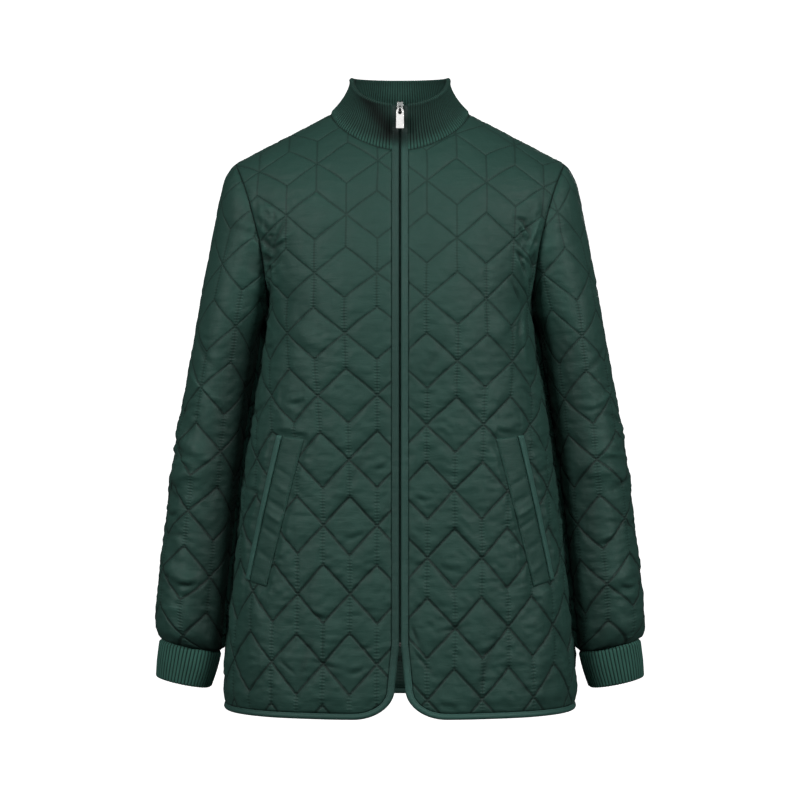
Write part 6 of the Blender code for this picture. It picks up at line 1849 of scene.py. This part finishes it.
quilted_satin = satin("quilted_satin_polyester_woven_and_quilted", "#26463e", True)
plain_satin = satin("plain_satin_polyester_woven", "#26463e", False)
bound_satin = satin("satin_binding_polyester_cut_on_the_bias", "#2c4c45", False)
print("satin materials ready")

# %% [markdown]
# ### Rib knit, tape, thread and metal
# The rib is a matt cotton and polyester yarn with V-shaped stitches 1.6 mm apart, with painted shade
# between its ridges; the tape a tight twill; the coil a smooth nylon; the thread a twisted polyester;
# slider and pull zinc with a polished nickel plate, which is why they mirror the room. The slider's
# nickel is a darker copy of the pull's: painted shade that keeps its reflection grey.

# %% Rib, tape, thread and metal


def rib_knit(name, colour):
    """Rows of V stitches: a sine along the rib, shifted by the distance from the rib's middle."""
    material, add, shader = new_material(name)
    split = add("SeparateXYZ", (add("UVMap", uv_map="rib"),)).node.outputs
    fraction = add("Math", (split[0], 0.5), operation="PINGPONG")
    slant = add("Math", (split[1], 1.0 / 0.0016, fraction), operation="MULTIPLY_ADD")
    slant = add("Math", (slant, 2 * math.pi), operation="MULTIPLY")
    loops = add("Math", (slant,), operation="SINE")
    place = add("TexCoord", output="Object")
    fuzz = add("TexNoise", {"Vector": place, "Scale": 1400.0, "Detail": 2.0})
    cloud = add("TexNoise", {"Vector": place, "Scale": 30.0, "Detail": 2.0})
    height = add("Math", (loops, 0.00008), operation="MULTIPLY")
    height = add("Math", (fuzz, 0.00012, height), operation="MULTIPLY_ADD")
    # Painted shade in the valleys between ribs, the ridges painted a little lighter.
    valley = add("MapRange", (fraction, 0.0, 0.30, 0.20, 1.32), **EASED)
    light = add("MapRange", (cloud, 0.3, 0.7, 0.93, 1.07))
    shade = add("Math", (valley, light), operation="MULTIPLY")
    # The vertices' shade numbers: painted shade on the collar, painted light on the cuffs.
    drawn = add("Attribute", output="Fac", attribute_name="shade")
    shade = add("Math", (shade, drawn), operation="MULTIPLY")
    # Painted light and shade on the V stitches, 6 percent either way.
    fine = add("Math", (loops, 0.06, 1.0), operation="MULTIPLY_ADD")
    shade = add("Math", (shade, fine), operation="MULTIPLY")
    dyed(add, shader, colour, shade, height)
    feed(shader, {"Roughness": 0.90, "IOR": 1.36, "Sheen Weight": 0.03, "Sheen Roughness": 0.5,
                  "Sheen Tint": dye("#9fb8ae")})
    return material


def fine_woven(name, colour, pitch, depth, roughness):
    """Twill lines on object coordinates: a saw of diagonal waves one thread pitch apart."""
    material, add, shader = new_material(name)
    place = add("TexCoord", output="Object")
    waves = {"Vector": place, "Scale": 1.0 / pitch / 2.0, "Distortion": 1.0, "Detail": 1.0}
    wave = add("TexWave", waves, output="Fac", bands_direction="DIAGONAL")
    noise = add("TexNoise", {"Vector": place, "Scale": 900.0, "Detail": 2.0})
    both = add("Math", (wave, noise), operation="ADD")
    height = add("Math", (both, depth), operation="MULTIPLY")
    shade = add("MapRange", (both, 0.2, 1.6, 0.75, 1.15))
    dyed(add, shader, colour, shade, height)
    feed(shader, {"Roughness": roughness})
    return material


def nickel(name, colour):
    """Nickel plate: faint polishing marks and a little unevenness in the gloss."""
    material, add, shader = new_material(name)
    place = add("TexCoord", output="Object")
    long_marks = add("Mapping", {0: place, "Scale": (2600.0, 2600.0, 240.0)})
    marks = add("TexNoise", {"Vector": long_marks, "Scale": 1.0, "Detail": 2.0})
    smudge = add("TexNoise", {"Vector": place, "Scale": 260.0, "Detail": 2.0})
    rough = add("MapRange", (smudge, 0.3, 0.7, 0.18, 0.30))
    dents = add("Math", (smudge, 3.0, marks), operation="MULTIPLY_ADD")
    shade = add("MapRange", (smudge, 0.3, 0.7, 0.96, 1.0))
    dyed(add, shader, colour, shade, dents, 0.000012)
    feed(shader, {"Metallic": 1.0, "Roughness": rough})
    return material


rib = rib_knit("rib_knit_cotton_polyester", "#294c43")
tape = fine_woven("zip_tape_polyester_twill_woven", "#1b2f2a", 0.0006, 0.00008, 0.8)
coil = fine_woven("zip_coil_nylon_extruded", "#1d332d", 0.0009, 0.00002, 0.42)
thread = fine_woven("polyester_thread_twisted", "#2c4c44", 0.0004, 0.00004, 0.6)
metal = nickel("zinc_with_polished_nickel_plate", "#c9c9c7")
# The slider's nickel, a darker copy of the pull's: painted shade that keeps its reflection grey.
dark_metal = nickel("nickel_plate_painted_darker", "#8d908e")
print("knit, tape, coil, thread and metal ready")

# %% [markdown]
# ## Dressing the frame
# Each piece gets its material, rides on its body and stands for its CAD node.

# %% Materials, bodies and nodes
SLOTS = {"front": (quilted_satin, "quilted_satin"), "back": (quilted_satin, "quilted_satin"),
         "sleeve": (quilted_satin, "quilted_satin"), "cuff": (rib, "rib_knit"), "collar": (rib, "rib_knit"),
         "binding": (bound_satin, "bound_satin"), "pocket_binding": (bound_satin, "bound_satin"),
         "pocket_welt": (plain_satin, "quilted_satin"), "zip_tape": (tape, "zip_tape"),
         "zip_chain": (coil, "zip_coil"), "zip_slider": (dark_metal, "nickel"),
         "zip_pull": (metal, "nickel"),
         "zip_bottom_stop": (metal, "nickel"), "binding_stitches": (thread, "bound_satin"),
         "pocket_stitches": (thread, "quilted_satin")}
for name, piece in PIECES.items():
    kind = name if name in SLOTS else name.rsplit("_", 1)[0]
    piece.data.materials.append(SLOTS[kind][0])
    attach(piece, "pull_tab" if name == "zip_pull" else "jacket")
    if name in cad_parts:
        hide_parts(name)


# %% [markdown]
# ## Studio
# The jacket hangs where a wearer would fill it, in front of a pale sweep of paper that glows a little.
# Two soft lights of nearly the same power graze the padding from both front sides, and a weaker one
# from the front fills it. A large card shows only in the gloss of satin and nickel, a small light hangs
# inside above the hem, and a broad one behind draws the edges. The camera looks level from 3 m, which
# is why hardly any of the shoulders' tops shows.

# %% Floor, light and camera


def paper_sweep():
    """Floor, quarter circle and back wall as one profile, drawn out sideways."""
    turn = np.linspace(0.0, math.pi / 2, 17)
    y = np.concatenate([[-4.5], 1.6 + 1.2 * np.sin(turn), [2.8]])
    z = np.concatenate([[-1.40], -0.2 - 1.2 * np.cos(turn), [3.2]])
    grid = np.stack([np.stack([np.full_like(y, x), y, z], axis=1) for x in (-5.0, 5.0)])
    sweep = make_object("paper_sweep", grid.reshape(-1, 3), grid_faces(2, len(y), False, False).tolist())
    material, _, shader = new_material("matt_paper")
    feed(shader, {"Base Color": (0.92, 0.92, 0.92, 1.0), "Roughness": 0.95,
                  "Emission Color": (1.0, 1.0, 1.0, 1.0), "Emission Strength": 0.85})
    sweep.data.materials.append(material)
    sweep.visible_diffuse = sweep.visible_glossy = False
    return sweep


def soft_light(name, place, target, wide, high, power):
    """A rectangular area light that looks at a target."""
    lamp = bpy.data.lights.new(name, "AREA")
    lamp.shape, lamp.size, lamp.size_y, lamp.energy = "RECTANGLE", wide, high, power
    light = bpy.data.objects.new(name, lamp)
    light.location = place
    light.rotation_euler = (Vector(target) - Vector(place)).to_track_quat("-Z", "Y").to_euler()
    bpy.context.scene.collection.objects.link(light)
    return light


paper_sweep()
soft_light("right_key", (2.1, -2.0, 0.9), (0.0, 0.0, -0.3), 0.7, 0.7, 47.0)
soft_light("left_key", (-2.1, -2.0, 0.9), (0.0, 0.0, -0.3), 0.7, 0.7, 46.0)
soft_light("front", (0.2, -2.9, 1.4), (0.0, 0.0, -0.4), 0.8, 0.7, 18.0).visible_glossy = False
soft_light("card", (0.3, -3.0, 1.8), (0.0, 0.0, -0.2), 3.0, 2.0, 30.0).visible_diffuse = False
soft_light("inside", (0.0, -0.02, -0.66), (0.0, 0.12, -0.72), 0.10, 0.05, 0.05)
soft_light("rear", (0.4, 3.0, 0.6), (0.0, 0.0, -0.3), 1.6, 1.0, 70.0)
world = bpy.data.worlds.new("studio")
world.use_nodes = True
world.node_tree.nodes["Background"].inputs[0].default_value = (1.0, 1.0, 1.0, 1.0)
world.node_tree.nodes["Background"].inputs[1].default_value = 0.03
bpy.context.scene.world = world
bpy.context.scene.view_settings.view_transform = "Standard"
lens = bpy.data.cameras.new("camera")
SENSOR, DISTANCE, FRAME_WIDTH, EYE_LEVEL = 36.0, 3.0, 800 * 0.00122, -0.3477  # the sensor in mm
lens.sensor_width, lens.lens, lens.clip_end = SENSOR, SENSOR * DISTANCE / FRAME_WIDTH, 30.0
camera = bpy.data.objects.new("camera", lens)
camera.location, camera.rotation_euler = (0.0, -DISTANCE, EYE_LEVEL), (math.pi / 2, 0.0, 0.0)
bpy.context.scene.collection.objects.link(camera)
bpy.context.scene.camera = camera
